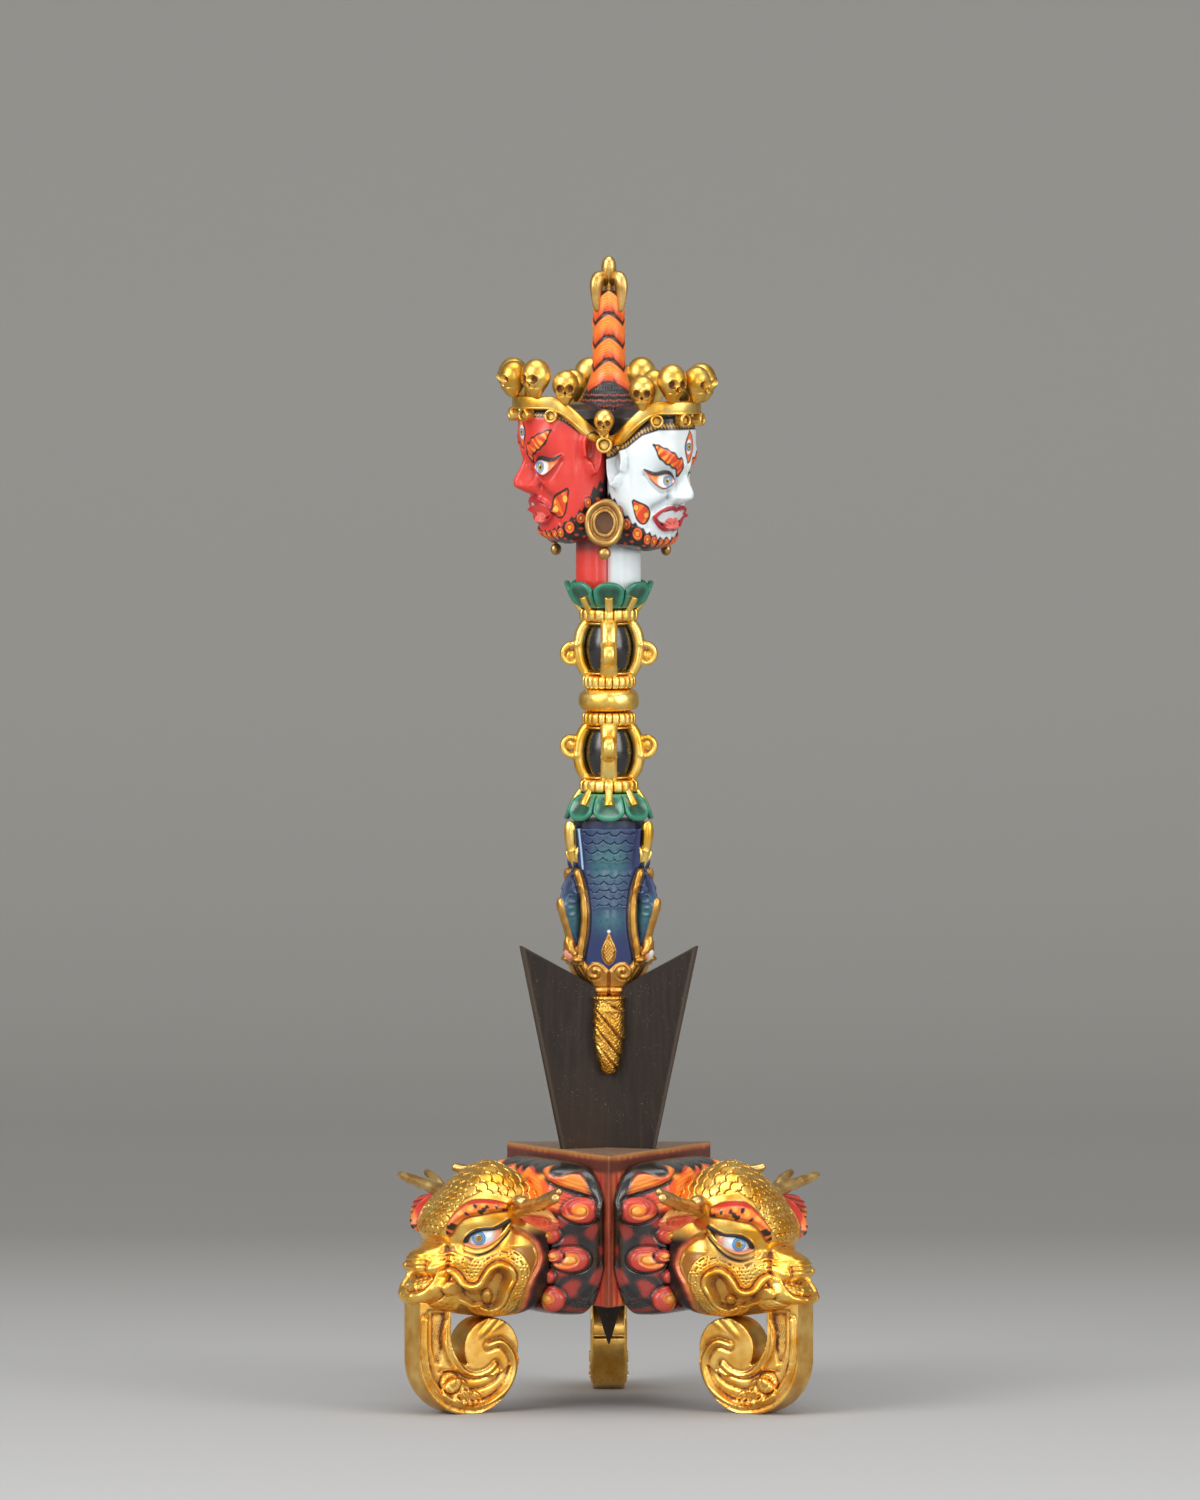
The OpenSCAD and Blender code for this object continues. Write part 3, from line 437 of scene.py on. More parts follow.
# %% Lamps
def lamp(name, place_, size, power, look=(0, 0, 0.17)):
    bpy.ops.object.light_add(type="AREA", location=place_)
    light = bpy.context.object
    light.name = name
    light.data.shape = "RECTANGLE"
    light.data.size, light.data.size_y = size
    light.data.energy = power
    direction = Vector((np.array(place_) - np.array(look)).tolist())
    light.rotation_euler = direction.to_track_quat("Z", "Y").to_euler()
    return light


lamp("window left", (-1.5, -1.3, 1.2), (1.3, 1.6), 40)
lamp("window right", (1.6, -1.3, 0.9), (1.1, 1.5), 25)
lamp("top", (0.1, -0.2, 1.9), (1.4, 1.2), 18)
lamp("front", (0.2, -2.6, 0.6), (0.5, 1.2), 10)
world = bpy.data.worlds.new("room")
bpy.context.scene.world = world
world.use_nodes = True
tree = world.node_tree
up = add(tree, "SeparateXYZ", "Z", {"Vector": add(tree, "TexCoord", "Generated")})
up = add(tree, "MapRange", "Result", {"Value": up, "From Min": -0.4, "From Max": 0.8})
sky = add(tree, "ValToRGB", "Color", {"Fac": up}, [(0.0, "#8f8a82"), (0.4, "#b4b1ac"), (1.0, "#e6e4e0")])
feed(tree, tree.nodes["Background"], {"Color": sky, "Strength": 0.75})
bpy.context.scene.view_settings.view_transform = "Standard"

# %% [markdown]
# Two numbers are painted on every carved skin. `hollow` says how deep a spot lies
# below the rubbed-down form, found by comparing the skin with a smoothed copy of
# itself. `paint` holds the brushwork as a colour. The gold, the glaze and the darkening
# of the grooves all read them.

# %% Hollows and paint
def rubbed(piece, passes):
    """The vertices after the given number of smoothing passes."""
    p = points(piece)
    edges = np.empty(len(piece.data.edges) * 2, dtype=np.int32)
    piece.data.edges.foreach_get("vertices", edges)
    a, b = edges.reshape(-1, 2).T
    count = np.bincount(a, minlength=len(p)) + np.bincount(b, minlength=len(p))
    q = p.copy()
    for _ in range(passes):
        for k in range(3):
            around = np.bincount(a, q[b, k], len(p)) + np.bincount(b, q[a, k], len(p))
            q[:, k] = 0.3 * q[:, k] + 0.7 * around / np.maximum(count, 1)
    return q


def hollows(piece, passes=40, full=0.35):
    """Writes 1 in grooves, 0.5 on plain skin and 0 on ridges; full is in mm."""
    depth = np.einsum("ij,ij->i", rubbed(piece, passes) - points(piece), normals(piece))
    value = clip(0.5 + 0.5 * depth / full, 0, 1)
    piece.data.attributes.new("hollow", "FLOAT", "POINT").data.foreach_set("value", value)
    return value


def brush(piece, colour):
    c = np.concatenate([colour, np.ones((len(colour), 1))], 1)
    piece.data.attributes.new("paint", "FLOAT_COLOR", "POINT").data.foreach_set("color", c.ravel())


def ground_coat(p, code):
    return np.tile(tone(code)[:3], (len(p), 1))


def coat(colour, cover, code):
    """Lays a colour over the others where cover is 1."""
    return colour + (np.array(tone(code)[:3]) - colour) * clip(cover, 0, 1)[:, None]


def coats(colour, layers):
    """Lays (cover, colour) layers one over the other, in their order."""
    for cover, code in layers:
        colour = coat(colour, cover, code)
    return colour


# %% [markdown]
# The gold parts were leafed over an orange-brown ground. Leaf is a metal, so it gets
# full metalness and a low roughness on the ridges. In the grooves the ground shows
# and dust dulls it, so there the metalness falls. A fine hammered bump keeps the
# highlights from looking machined.

# %% Gilding
def grain(at, size_mm, detail=3.0, rough=0.55):
    """Inputs for a noise whose grain is about size_mm wide."""
    return {"Vector": at, "Scale": 1 / (size_mm * MM), "Detail": detail, "Roughness": rough}


def spread(value, low, high, to_low=0.0, to_high=1.0):
    """Inputs for a map range that takes low to high on to to_low to to_high."""
    return {"Value": value, "From Min": low, "From Max": high, "To Min": to_low, "To Max": to_high}


def gilding(name, leaf="#e9b13c", light="#ffdf86", ground="#8a4308", dark="#3a1c08", shine=0.33, wear=0.4,
            bump_mm=0.02, grime=0.0):
    material, tree, shader = new_material(name)
    at = add(tree, "TexCoord", "Object")
    patch = add(tree, "TexNoise", "Fac", grain(at, 6, 4))
    patch = add(tree, "MapRange", "Result", spread(patch, 0.35, 0.65))
    gold = add(tree, "Mix", "Result", {"Factor": patch, "A": tone(leaf), "B": tone(light)},
               data_type="RGBA")
    # how deep a spot lies, with a little grain so that no edge is straight
    hollow = add(tree, "Attribute", "Fac", attribute_name="hollow")
    fine = add(tree, "TexNoise", "Fac", grain(at, 0.9, 4))
    ragged = add(tree, "MapRange", "Result", spread(fine, 0.3, 0.7, -0.12, 0.12))
    deep = add(tree, "Math", "Value", {0: hollow, 1: ragged}, operation="ADD")
    bare = add(tree, "MapRange", "Result", spread(deep, 0.60, 0.92))
    # rubbed patches and grime join the bare grooves
    rubs = add(tree, "Math", "Value", {0: add(tree, "TexNoise", "Fac", grain(at, 2.6, 6, 0.7)),
                                       1: add(tree, "TexNoise", "Fac", grain(at, 9, 2))},
               operation="MULTIPLY")
    rubs = add(tree, "MapRange", "Result", spread(rubs, 0.42 - 0.1 * wear, 0.50, 0, wear))
    worn = add(tree, "Math", "Value", {0: bare, 1: rubs}, operation="MAXIMUM")
    worn = add(tree, "Math", "Value",
               {0: worn, 1: add(tree, "MapRange", "Result", spread(fine, 0.45, 0.8, grime, grime))},
               operation="MAXIMUM")
    under = add(tree, "Mix", "Result", {"Factor": add(tree, "MapRange", "Result", spread(deep, 0.8, 1.0)),
                                        "A": tone(ground), "B": tone(dark)}, data_type="RGBA")
    colour = add(tree, "Mix", "Result", {"Factor": worn, "A": gold, "B": under}, data_type="RGBA")
    dull = add(tree, "MapRange", "Result", spread(worn, 0, 1, shine, shine + 0.28))
    cloud = add(tree, "TexNoise", "Fac", grain(at, 1.6))
    cloud = add(tree, "MapRange", "Result", spread(cloud, 0.3, 0.7, -0.07, 0.07))
    # a hammered skin: broad dents and finer ones on them
    small = add(tree, "Math", "Value", {0: add(tree, "TexNoise", "Fac", grain(at, 0.35, 2)), 1: 0.35},
                operation="MULTIPLY")
    dents = add(tree, "Math", "Value", {0: add(tree, "TexNoise", "Fac", grain(at, 1.1, 2)), 1: small},
                operation="ADD")
    feed(tree, shader, {
        "Base Color": colour,
        "Metallic": add(tree, "MapRange", "Result", spread(worn, 0.2, 1.0, 1.0, 0.15)),
        "Roughness": add(tree, "Math", "Value", {0: dull, 1: cloud}, operation="ADD"),
        "Normal": add(tree, "Bump", "Normal", {"Height": dents, "Strength": 1.0,
                                               "Distance": bump_mm * MM})})
    return material


bright_gilt = gilding("bright gold leaf, orange ground in the recesses")
print("material:", bright_gilt.name)

# %% [markdown]
# Gloss paint is a coloured body under a thin clear coat, and black lacquer is the same
# with a thicker one. The brush leaves fine ridges that break up the highlights, and the
# colour is made darker in the grooves.

# %% Paint, lacquer and wood
def glossy(name, rough=0.42, coat_weight=0.25, groove_dim=0.35, stroke_mm=0.5, bump_mm=0.03,
           stretch=(1, 1, 0.35), base=None):
    material, tree, shader = new_material(name)
    at = add(tree, "TexCoord", "Object")
    colour = tone(base) if base else add(tree, "Attribute", "Color", attribute_name="paint")
    cloud = add(tree, "TexNoise", "Fac", grain(at, 4, 4))
    cloud = add(tree, "MapRange", "Result", spread(cloud, 0.35, 0.7, 0, 0.22))
    shade = add(tree, "Mix", "Result", {"Factor": cloud, "A": colour, "B": tone("#000000")},
                data_type="RGBA", blend_type="SOFT_LIGHT")
    # the colour is made darker where the hollow number is high
    hollow = add(tree, "Attribute", "Fac", attribute_name="hollow")
    hollow = add(tree, "MapRange", "Result", spread(hollow, 0.62, 1.0, 0, groove_dim))
    dimmed = add(tree, "Mix", "Result", {"Factor": hollow, "A": shade, "B": tone("#1a100c")},
                data_type="RGBA", blend_type="MULTIPLY")
    dull = add(tree, "TexNoise", "Fac", grain(at, 2.2))
    pull = add(tree, "Mapping", "Vector", {"Vector": at, "Scale": stretch})
    ridges = add(tree, "TexNoise", "Fac", grain(pull, stroke_mm, 3, 0.6))
    feed(tree, shader, {
        "Base Color": dimmed,
        "Roughness": add(tree, "MapRange", "Result", spread(dull, 0.3, 0.7, rough - 0.07, rough + 0.1)),
        "Coat Weight": coat_weight, "Coat Roughness": 0.18,
        "Normal": add(tree, "Bump", "Normal", {"Height": ridges, "Strength": 1.0,
                                               "Distance": bump_mm * MM})})
    return material


lotus_green = glossy("dark green gloss paint", rough=0.3, coat_weight=0.5, bump_mm=0.05)
black_lacquer = glossy("black lacquer", rough=0.25, coat_weight=0.6, base="#0b0a0a", bump_mm=0.08,
                       stroke_mm=0.9)
print("materials so far:", [m.name for m in bpy.data.materials])

# %% [markdown]
# The grip is a vajra: four bent prongs round a black core, once above and once below
# the round knob. On the object its rings and cups are turned, carved and threaded on a
# rod. Each ring, cup and core here is a ball of clay drawn onto a turned profile,
# which is as round as a lathe makes it and is closed at both ends.

# %% Turned profiles
def turned_profile(path, dense=None):
    """A clay shape on a profile of (radius, height) points; dense changes r and z."""
    path = np.array(path, float)
    run = np.concatenate([[0], np.cumsum(np.linalg.norm(np.diff(path, axis=0), axis=1))])

    def shape(turn, t):
        s = t * run[-1]
        r, z = interp(s, run, path[:, 0]), interp(s, run, path[:, 1])
        if dense:
            r, z = dense(turn, r, z)
        return polar(r, turn, z)
    return shape


def curve(stations, count=40):
    return smooth(stations, np.linspace(0, 1, count))


def stood(piece, z, upside=False):
    """Lifts a finished form to height z, or hangs it from z upside down."""
    if upside:
        piece.data.transform(Matrix.Scale(-1, 4, (0, 0, 1)))
        piece.data.flip_normals()
    piece.data.transform(Matrix.Translation((0, 0, z)))
    return piece


def ring_of_beads(name, outer, count):
    """Upright beads round a ring, each a little barrel, over a plain core."""
    h = span("beads_under_grip")[1] - span("beads_under_grip")[0]
    across = np.linspace(-1, 1, 25)
    side = [(outer - 1.9 + 1.9 * math.sqrt(max(0, 1 - c ** 4)), h * (c + 1) / 2) for c in across]

    def bead(turn, r, z):
        c = abs(sin(np.radians(turn) * count / 2))
        round_ = np.sqrt(clip(1 - (1 - abs(c)) ** 2.2, 0, 1))
        return r - (1 - round_) * 1.1 * step(r, outer - 2.2, outer - 1.0), z
    return clay(name, count * 16, 60, turned_profile([(0, 0)] + side + [(0, h)], bead))


def stamens(count=8):
    """Gold rods that lean out over the petals, one to each."""
    rods = []
    for i in range(count):
        rod = clay("stamen", 20, 30, roll([[-0.9, 0, -1.2, 1.0, 0.8], [0.0, 0, -0.1, 1.0, 0.8],
                                           [0.8, 0, 1.2, 1.1, 0.9], [1.6, 0, 2.5, 1.2, 0.95],
                                           [2.1, 0, 3.3, 1.1, 0.85]],
                                          ref=(1, 0, 0), cap=0.06))
        rods.append(turned(rod, 270 + 45 * i, x=7.5))
    return rods


for node, upside, outer, count, leaf in [("beads_lower", True, 7.8, 18, True),
                                         ("beads_under_grip", False, 7.1, 22, False),
                                         ("beads_over_grip", False, 7.1, 22, False),
                                         ("beads_upper", False, 7.8, 18, True)]:
    low, high = span(node)
    ring = ring_of_beads(node + "_ring", outer, count)
    if leaf:
        rods = stamens()
        for rod in rods:
            stood(rod, 3.4)
        ring = join(node + "_ring", [ring] + rods)
    hollows(ring, 12, 0.25)
    to_frame(stood(ring, high if upside else low, upside), "phurba", "grip_gilt", bright_gilt, [node])
    print(ring.name, len(ring.data.polygons), "faces")

# %% [markdown]
# The knob is a turned ball pressed flat, the place where the hand holds the dagger. A
# shallow wave on its skin stands for the file marks that the gold leaf still shows.

# %% Knob
low, high = span("grip_knob")
knob_side = [(7.9 - 2.9 + 2.9 * math.sqrt(max(0, 1 - abs(c) ** 2.4)), (high - low) * (c + 1) / 2)
             for c in np.linspace(-1, 1, 41)]
knob = clay("grip_knob_round", 128, 70, turned_profile([(0, 0)] + knob_side + [(0, high - low)]))
relief(knob, lambda p: 0.05 * sin(p[:, 0] * 1.3 + p[:, 2]) * sin(p[:, 1] * 1.1))
hollows(knob, 12, 0.25)
to_frame(stood(knob, low), "phurba", "grip_gilt", bright_gilt, ["grip_knob"])
print("knob from", low, "to", high)

# %% [markdown]
# Each prong is a band of clay bent like a bow. A second roll leaves its back below
# the middle and winds up into a volute. They are fused into one skin, so the joints
# look carved and not assembled.

# %% Cages
CAGE_H = span("cage_core_upper")[1] - span("cage_core_upper")[0]


def cage_prong(mid):
    bow = clay("bow", 40, 90, roll([[4.6, 0, -0.2, 2.1, 1.5], [6.0, 0, 0.9, 2.2, 1.6],
                                    [7.2, 0, 3.4, 2.15, 1.7], [7.7, 0, mid - 0.6, 2.1, 1.7],
                                    [7.7, 0, mid + 0.8, 2.1, 1.7], [7.2, 0, CAGE_H - 3.2, 2.15, 1.7],
                                    [6.0, 0, CAGE_H - 0.9, 2.2, 1.6], [4.6, 0, CAGE_H + 0.2, 2.1, 1.5]],
                                   ref=(1, 0, 0), cap=0.03, square=0.9))
    collar = clay("collar", 40, 30,
                  roll([[8.0, 0, mid + 0.2, 2.15, 1.3], [8.2, 0, mid + 0.9, 2.3, 1.5],
                        [8.0, 0, mid + 1.6, 2.15, 1.3]], ref=(1, 0, 0), cap=0.3))
    eye = np.array([9.5, 0, mid - 1.9])
    wind = []
    for k, turn in enumerate(np.linspace(118, -262, 20)):
        far = 3.0 * (1 - 0.66 * (k / 19) ** 1.1)
        wind.append([*(eye + far * np.array([math.cos(math.radians(turn)), 0,
                                             math.sin(math.radians(turn))])), 0.95 - 0.018 * k,
                     1.6 - 0.012 * k])
    wind.insert(0, [8.6, 0, mid + 0.6, 0.5, 1.2])
    curl = clay("curl", 24, 120, roll(wind, ref=(0, 1, 0), cap=0.04, square=0.8))
    web = ball("web", 30, 20, (10.0, 0, mid - 2.1), (1.6, 1.0, 1.6), "y")
    return [bow, collar, curl, web]


for where, upside in [("upper", False), ("lower", True)]:
    node = "cage_prongs_" + where
    low, high = span(node)
    parts = []
    for i in range(4):
        for part in cage_prong(CAGE_H / 2):
            parts.append(turned(part, 270 + 90 * i))
    for z in (0.5, CAGE_H - 0.5):
        hub = clay("hub", 96, 20, turned_profile([(0, -0.5), (5.6, -0.5), (6.6, 0), (5.6, 0.5), (0, 0.5)]))
        parts.append(stood(hub, z))
    prongs = fuse(node + "_carved", parts, 0.2, 3)
    hollows(prongs, 40, 0.4)
    to_frame(stood(prongs, high if upside else low, upside), "phurba", "grip_gilt", bright_gilt, [node])
    node = "cage_core_" + where
    low, high = span(node)
    h = high - low
    core = clay(node + "_turned", 64, 40,
                turned_profile([(0, 0)] + [(4.2 + 2.0 * (1 - c * c), h * (c + 1) / 2)
                                           for c in np.linspace(-1, 1, 21)] + [(0, h)]))
    hollows(core, 10, 0.3)
    to_frame(stood(core, low), "phurba", "core_lacquer", black_lacquer, [node])
    print(prongs.name, len(prongs.data.polygons), "faces")

# %% [markdown]
# A lotus is a cup of eight petals. Each petal has a thick rolled rim and a hollowed
# face, so one formula in the petal's own width and height draws all of them.

# %% Lotuses
def lotus_cup(name, h):
    outer = curve([(7.7, 0), (8.7, 0.9), (9.9, 2.5), (10.8, 4.6), (11.3, 6.3), (11.2, h)], 40)
    inner = curve([(10.4, h), (9.9, 5.4), (9.2, 3.4), (8.2, 1.9), (6.0, 1.65)], 24)

    def petal(turn, r, z):
        x = off_nearest(turn, 270, 45) / 22.5
        top = h - 2.2 * abs(x) ** 2.6
        q = (abs(x) ** 5 + clip(z / h, 0, 1) ** 7) ** (1 / 5)
        front = np.where(r > interp(z, [0, 1.6, h], [7.4, 8.2, 10.8]), 1.0, 0.35)
        r = r + front * step(z, 0.2, 1.6) * (0.42 * bump(q, 0.86, 0.13) - 0.55 * step(0.8 - q, 0, 0.5)
                                             - 0.9 * step(abs(x), 0.93, 1.0))
        return r, z * top / h
    return clay(name, 8 * 36, 110,
                turned_profile([(0, 0)] + outer.tolist() + inner.tolist() + [(0, 1.6)], petal))


for node, upside in [("lotus_upper", False), ("lotus_lower", True)]:
    low, high = span(node)
    cup = lotus_cup(node + "_petals", high - low)
    hollow = hollows(cup, 40, 0.5)
    p = points(cup)
    x = abs(off_nearest(turn_of(p), 270, 45)) / 22.5
    colour = ground_coat(p, "#0d4632")
    colour = coats(colour, [
        (step(0.55 - hollow, -0.05, 0.25), "#2a7f63"),
        (0.8 * step(hollow, 0.6, 0.8), "#062a20")])
    brush(cup, colour)
    to_frame(stood(cup, high if upside else low, upside), "phurba", "lotus_paint", lotus_green, [node])

# %% [markdown]
# The three wrathful heads are one carving pattern with three coats of paint. Every
# feature is a line or an outline in two numbers, the turn away from the middle of
# the face in degrees and the height above the chin in mm. The same lines raise the
# lids, the lips and the brow and then guide the brush, so paint and carving agree.

# %% Lines on a face
def to_line(q, line, scale=(1, 1), reach=5.0):
    """Distance from points to a line of points, no more than reach, and how far along it they are."""
    q, line = q * scale, np.array(line, float)[:, :2] * scale
    seg = np.linalg.norm(np.diff(line, axis=0), axis=1)
    start = np.concatenate([[0], np.cumsum(seg)])
    near = np.flatnonzero(np.all((q > line.min(0) - reach) & (q < line.max(0) + reach), axis=1))
    x, y = q[near].T.copy()
    best, best_at = np.full(len(near), reach), np.zeros(len(near))
    for (ax, ay), (bx, by), length, begin in zip(line[:-1], line[1:], seg, start):
        dx, dy = bx - ax, by - ay
        k = clip(((x - ax) * dx + (y - ay) * dy) / max(length ** 2, 1e-9), 0, 1)
        d = hypot(x - ax - k * dx, y - ay - k * dy)
        nearer = d < best
        best = np.where(nearer, d, best)
        best_at = np.where(nearer, (begin + k * length) / start[-1], best_at)
    distance, along = np.full(len(q), reach), np.zeros(len(q))
    distance[near], along[near] = best, best_at
    return distance, along


def in_outline(q, outline, scale=(1, 1)):
    """Distance to an outline, positive inside it."""
    pts = np.array(outline, float) * scale
    d, _ = to_line(q, np.vstack([outline, outline[:1]]), scale)
    q = q * scale
    near = np.flatnonzero(np.all((q > pts.min(0)) & (q < pts.max(0)), axis=1))
    x, y = q[near].T.copy()
    odd = np.zeros(len(near), bool)
    for (x0, y0), (x1, y1) in zip(pts, np.roll(pts, -1, 0)):
        if y0 != y1:
            odd ^= ((y0 > y) != (y1 > y)) & (x < x0 + (y - y0) * (x1 - x0) / (y1 - y0))
    inside = np.zeros(len(q), bool)
    inside[near] = odd
    return np.where(inside, d, -d)


def spline(points_, count=15):
    return smooth(points_, np.linspace(0, 1, count))


def edge(distance, width, soft=0.12):
    """Cover of a line or shape: 1 up to width from it, then a soft edge."""
    return 1 - step(distance, width - soft, width + soft)


# %% [markdown]
# The face as a drawing. The curls of the beard are three numbers each: the turn, the
# height and the radius. The lid, brow and lip lines are given as points.

# %% Face pattern
DEG = 0.21
FACE = (DEG, 1)
UPPER_LID = spline([(14, 17.2), (17, 18.2), (22, 19.1), (30, 19.4), (42, 19.0), (50, 19.4), (58, 20.2)])
LOWER_LID = spline([(14, 17.2), (17, 16.5), (22, 15.8), (32, 15.3), (42, 16.3), (50, 17.9), (58, 20.2)])
EYE = np.vstack([UPPER_LID, LOWER_LID[::-1]])
BROW_LOW = spline([(9, 18.6), (14, 20.2), (20, 21.0), (30, 22.1), (38, 23.4), (46, 26.9)])
BROW_HIGH = spline([(8, 20.6), (11, 23.0), (16, 23.0), (22, 24.3), (30, 25.4), (38, 26.2), (46, 26.9)])
BROW = np.vstack([BROW_LOW, BROW_HIGH[::-1]])
BROW_MID = (BROW_LOW + BROW_HIGH) / 2
UPPER_LIP = spline([(42, 7.9), (35, 8.9), (27, 9.7), (18, 10.1), (9, 10.1), (4, 9.8), (0, 9.6)])
LOWER_LIP = spline([(42, 7.7), (36, 6.4), (29, 5.4), (20, 4.8), (10, 4.7), (0, 4.9)])
MOUTH = np.vstack([UPPER_LIP, LOWER_LIP[::-1], [(-20, 4.0), (-20, 10.4)]])
LEAF = [(50, 8.9), (52, 7.4), (58, 6.3), (65, 6.6), (70, 8.0), (73, 10.6), (74, 12.2), (66, 11.6),
        (58, 11.0), (53, 10.3)]
CURLS = [(96, 9.6, 1.2), (86, 6.0, 1.7), (69, 3.4, 2.0), (53, 1.9, 1.6), (40, 1.3, 1.7), (24, 0.9, 1.4),
         (10, 0.8, 1.7), (-6, 0.9, 1.5)]
HELIX = spline([(88, 20.4), (86, 23.2), (90, 25.6), (98, 26.4), (107, 25.4), (112, 22.0), (111, 18.8),
                (105, 16.6), (99, 16.4), (97, 18.4)])
print("face pattern:", len(EYE), "points round the eye,", len(CURLS), "curls")


# %% [markdown]
# The skin is a plain egg with every feature added to its radius: first the nose, then
# the brow and eye, the mouth, the beard and the ear. A sum of soft bumps can't tear.

# %% Skin of a face
def head_radius(q, turn, z, nose):
    """Distance of the skin from the head's own axis; q is (|turn|, height on the pattern)."""
    t, h = q.T
    front = soft(h, [-1.4, -0.9, 0.3, 1.6, 4, 7, 10, 13, 16, 19, 21.5, 25, 30, 34, 36.6, 37.6],
                 [0, 3.8, 5.8, 6.8, 7.1, 7.5, 8.7, 10.0, 11.0, 11.3, 12.3, 13.3, 13.5, 12.9, 9.6, 0], 0.6)
    side = soft(h, [-1.4, -0.9, 0.3, 2.5, 6, 10, 16, 24, 30, 34, 36.6, 37.6],
                [0, 4.6, 7.8, 9.0, 9.7, 10.2, 10.6, 10.9, 10.6, 9.6, 7, 0])
    fore = np.where(abs(turn) < 90, front, 9.8 * side / 10.6)
    c, s = np.absolute(cos_sin(turn))
    r = ((c / np.maximum(fore, 0.01)) ** 2.3 + (s / np.maximum(side, 0.01)) ** 2.3) ** (-1 / 2.3)
    full = step(h, -0.6, 1.0)
    # nose: a ridge from between the brows to the tip, wings beside it, a cut below
    ridge = soft(h, [9.6, 10.7, 11.3, 12.6, 14.2, 16.6, 19.4, 22], [0, 0.0, 2.0, 4.7, 4.4, 2.6, 0.9, 0],
                 0.35)
    width = interp(h, [11, 13, 15, 18, 22], [10.5, 10.5, 8.0, 5.2, 7])
    r = r + nose * ridge * np.exp(-abs(t / width) ** 2.4)
    r = (r + 1.5 * bump(t, 15, 5) * bump(h, 12.9, 1.6) - 0.7 * bump(t, 8, 3) * bump(h, 11.0, 0.5)
         - 0.5 * bump(t, 22, 2.5) * bump(h, 13.6, 2.0))
    r = r - 0.35 * bump(t, 0, 3) * bump(h, 10.8, 0.7)
    # brow, eye socket, ball and lids
    d, k = to_line(q, BROW_MID, FACE)
    r = r + 0.85 * bump(d, 0, 1.9) * (1 - 0.5 * k) + 0.55 * bump(t, 4, 4) * bump(h, 21.5, 1.6)
    r = r - 1.35 * bump(t, 27, 15) * bump(h, 18.2, 2.6) - 0.55 * bump(t, 10, 4) * bump(h, 17.2, 2.4)
    e = in_outline(q, EYE, FACE)
    ball = 1 - ((t - 29) * DEG / 4.2) ** 2 - ((h - 17.6) / 3.0) ** 2
    r = r + 0.75 * np.sqrt(clip(ball, 0, 1)) * step(e, -0.5, 0.4)
    r = (r + 0.5 * bump(to_line(q, UPPER_LID, FACE)[0], 0, 0.5)
         + 0.3 * bump(to_line(q, LOWER_LID, FACE)[0], 0, 0.45))
    r = r - 0.3 * bump(to_line(q, LOWER_LID - (0, 1.2), FACE)[0], 0, 0.4)
    r = r + 0.5 * bump(t, 0, 9) * bump(h, 26, 4.4)
    # cheek, fold beside the mouth, mouth and chin
    r = r + 0.8 * bump(t, 42, 15) * bump(h, 12.4, 2.6)
    r = r - 0.4 * bump(to_line(q, [(22, 13), (34, 11.8), (46, 10.6), (54, 8.0), (52, 5.0)], FACE)[0], 0,
                       0.7)
    m = in_outline(q, MOUTH, FACE)
    r = r + 0.9 * np.exp(-(t / 34) ** 4) * bump(h, 8, 3.2) - 1.5 * step(m, 0.1, 1.0)
    r = (r + 1.1 * bump(to_line(q, UPPER_LIP, FACE)[0], 0, 0.65)
         + 1.15 * bump(to_line(q, LOWER_LIP, FACE)[0], 0, 0.75))
    teeth = (edge(abs(h - 8.2 - 0.01 * t), 0.6, 0.25) * step(m, 0.3, 0.7)
             * (0.75 + 0.25 * abs(cos(t * 0.42))))
    tongue = clip(1 - ((t - 8) / 15) ** 2 - ((h - 6.0) / 1.7) ** 2, 0, 1)
    r = r + 0.9 * teeth + 1.5 * np.sqrt(tongue) * step(m, -0.4, 0.5)
    r = r + 0.8 * bump(t, 0, 22) * bump(h, 1.6, 1.5) * full
    for ct, ch, cr in CURLS:
        d = hypot((t - ct) * DEG, h - ch)
        r = r + full * (0.75 * edge(d, cr * 0.85, 0.35) - 0.4 * bump(d, cr * 0.45, 0.22))
    # ear: a rim round a bowl, with a lobe
    bowl = hypot((t - 99) * DEG / 2.1, (h - 21.6) / 4.4)
    r = (r + 0.6 * edge(bowl, 1.25, 0.25) + 1.3 * bump(to_line(q, HELIX, FACE)[0], 0, 0.65)
         - 1.0 * step(1 - bowl, 0.1, 0.6))
    r = r + 0.8 * bump(hypot((t - 101) * DEG, h - 15.9), 0, 1.3) - 0.35 * bump(t, 80, 4) * bump(h, 20, 4)
    return r


# %% [markdown]
# The brushwork of a head, in the order a painter lays it: the ground, the lips and
# eyes, the flaming brows and beard, and the fine black outlines last.

# %% Brushwork of a head
def flames(colour, q, cover, scale=FACE, pitch=1.5):
    """Orange flame strokes with yellow tongues on a red ground."""
    x, y = (q * scale).T
    lick = sin((0.8 * x + 0.6 * y + 0.25 * sin(x * 2.1)) * 2 * pi / (1.25 * pitch))
    lick2 = sin((0.5 * x - 0.35 * y) * 2 * pi / (pitch * 1.9) + 1)
    return coats(colour, [
        (cover, "#d8401c"),
        (cover * step(lick + 0.5 * lick2, -0.2, 0.5), "#ee7a24"),
        (cover * step(lick + 0.8 * lick2, 0.9, 1.3), "#f6ae36")])


def ringed_curl(colour, d, r):
    return coats(colour, [
        (edge(d, r, 0.2), "#17120f"),
        (edge(d, r * 0.78, 0.15), "#e2571d"),
        (edge(d, r * 0.5, 0.15), "#f29a2b"),
        (edge(abs(d - r * 0.36), 0.1, 0.1), "#8c3312")])


def discs(colour, d, stops, cover=1.0):
    """Round spots laid one inside the other, the largest first, as in an iris."""
    for r, code in stops:
        colour = coat(colour, cover * edge(d, r, 0.1), code)
    return colour
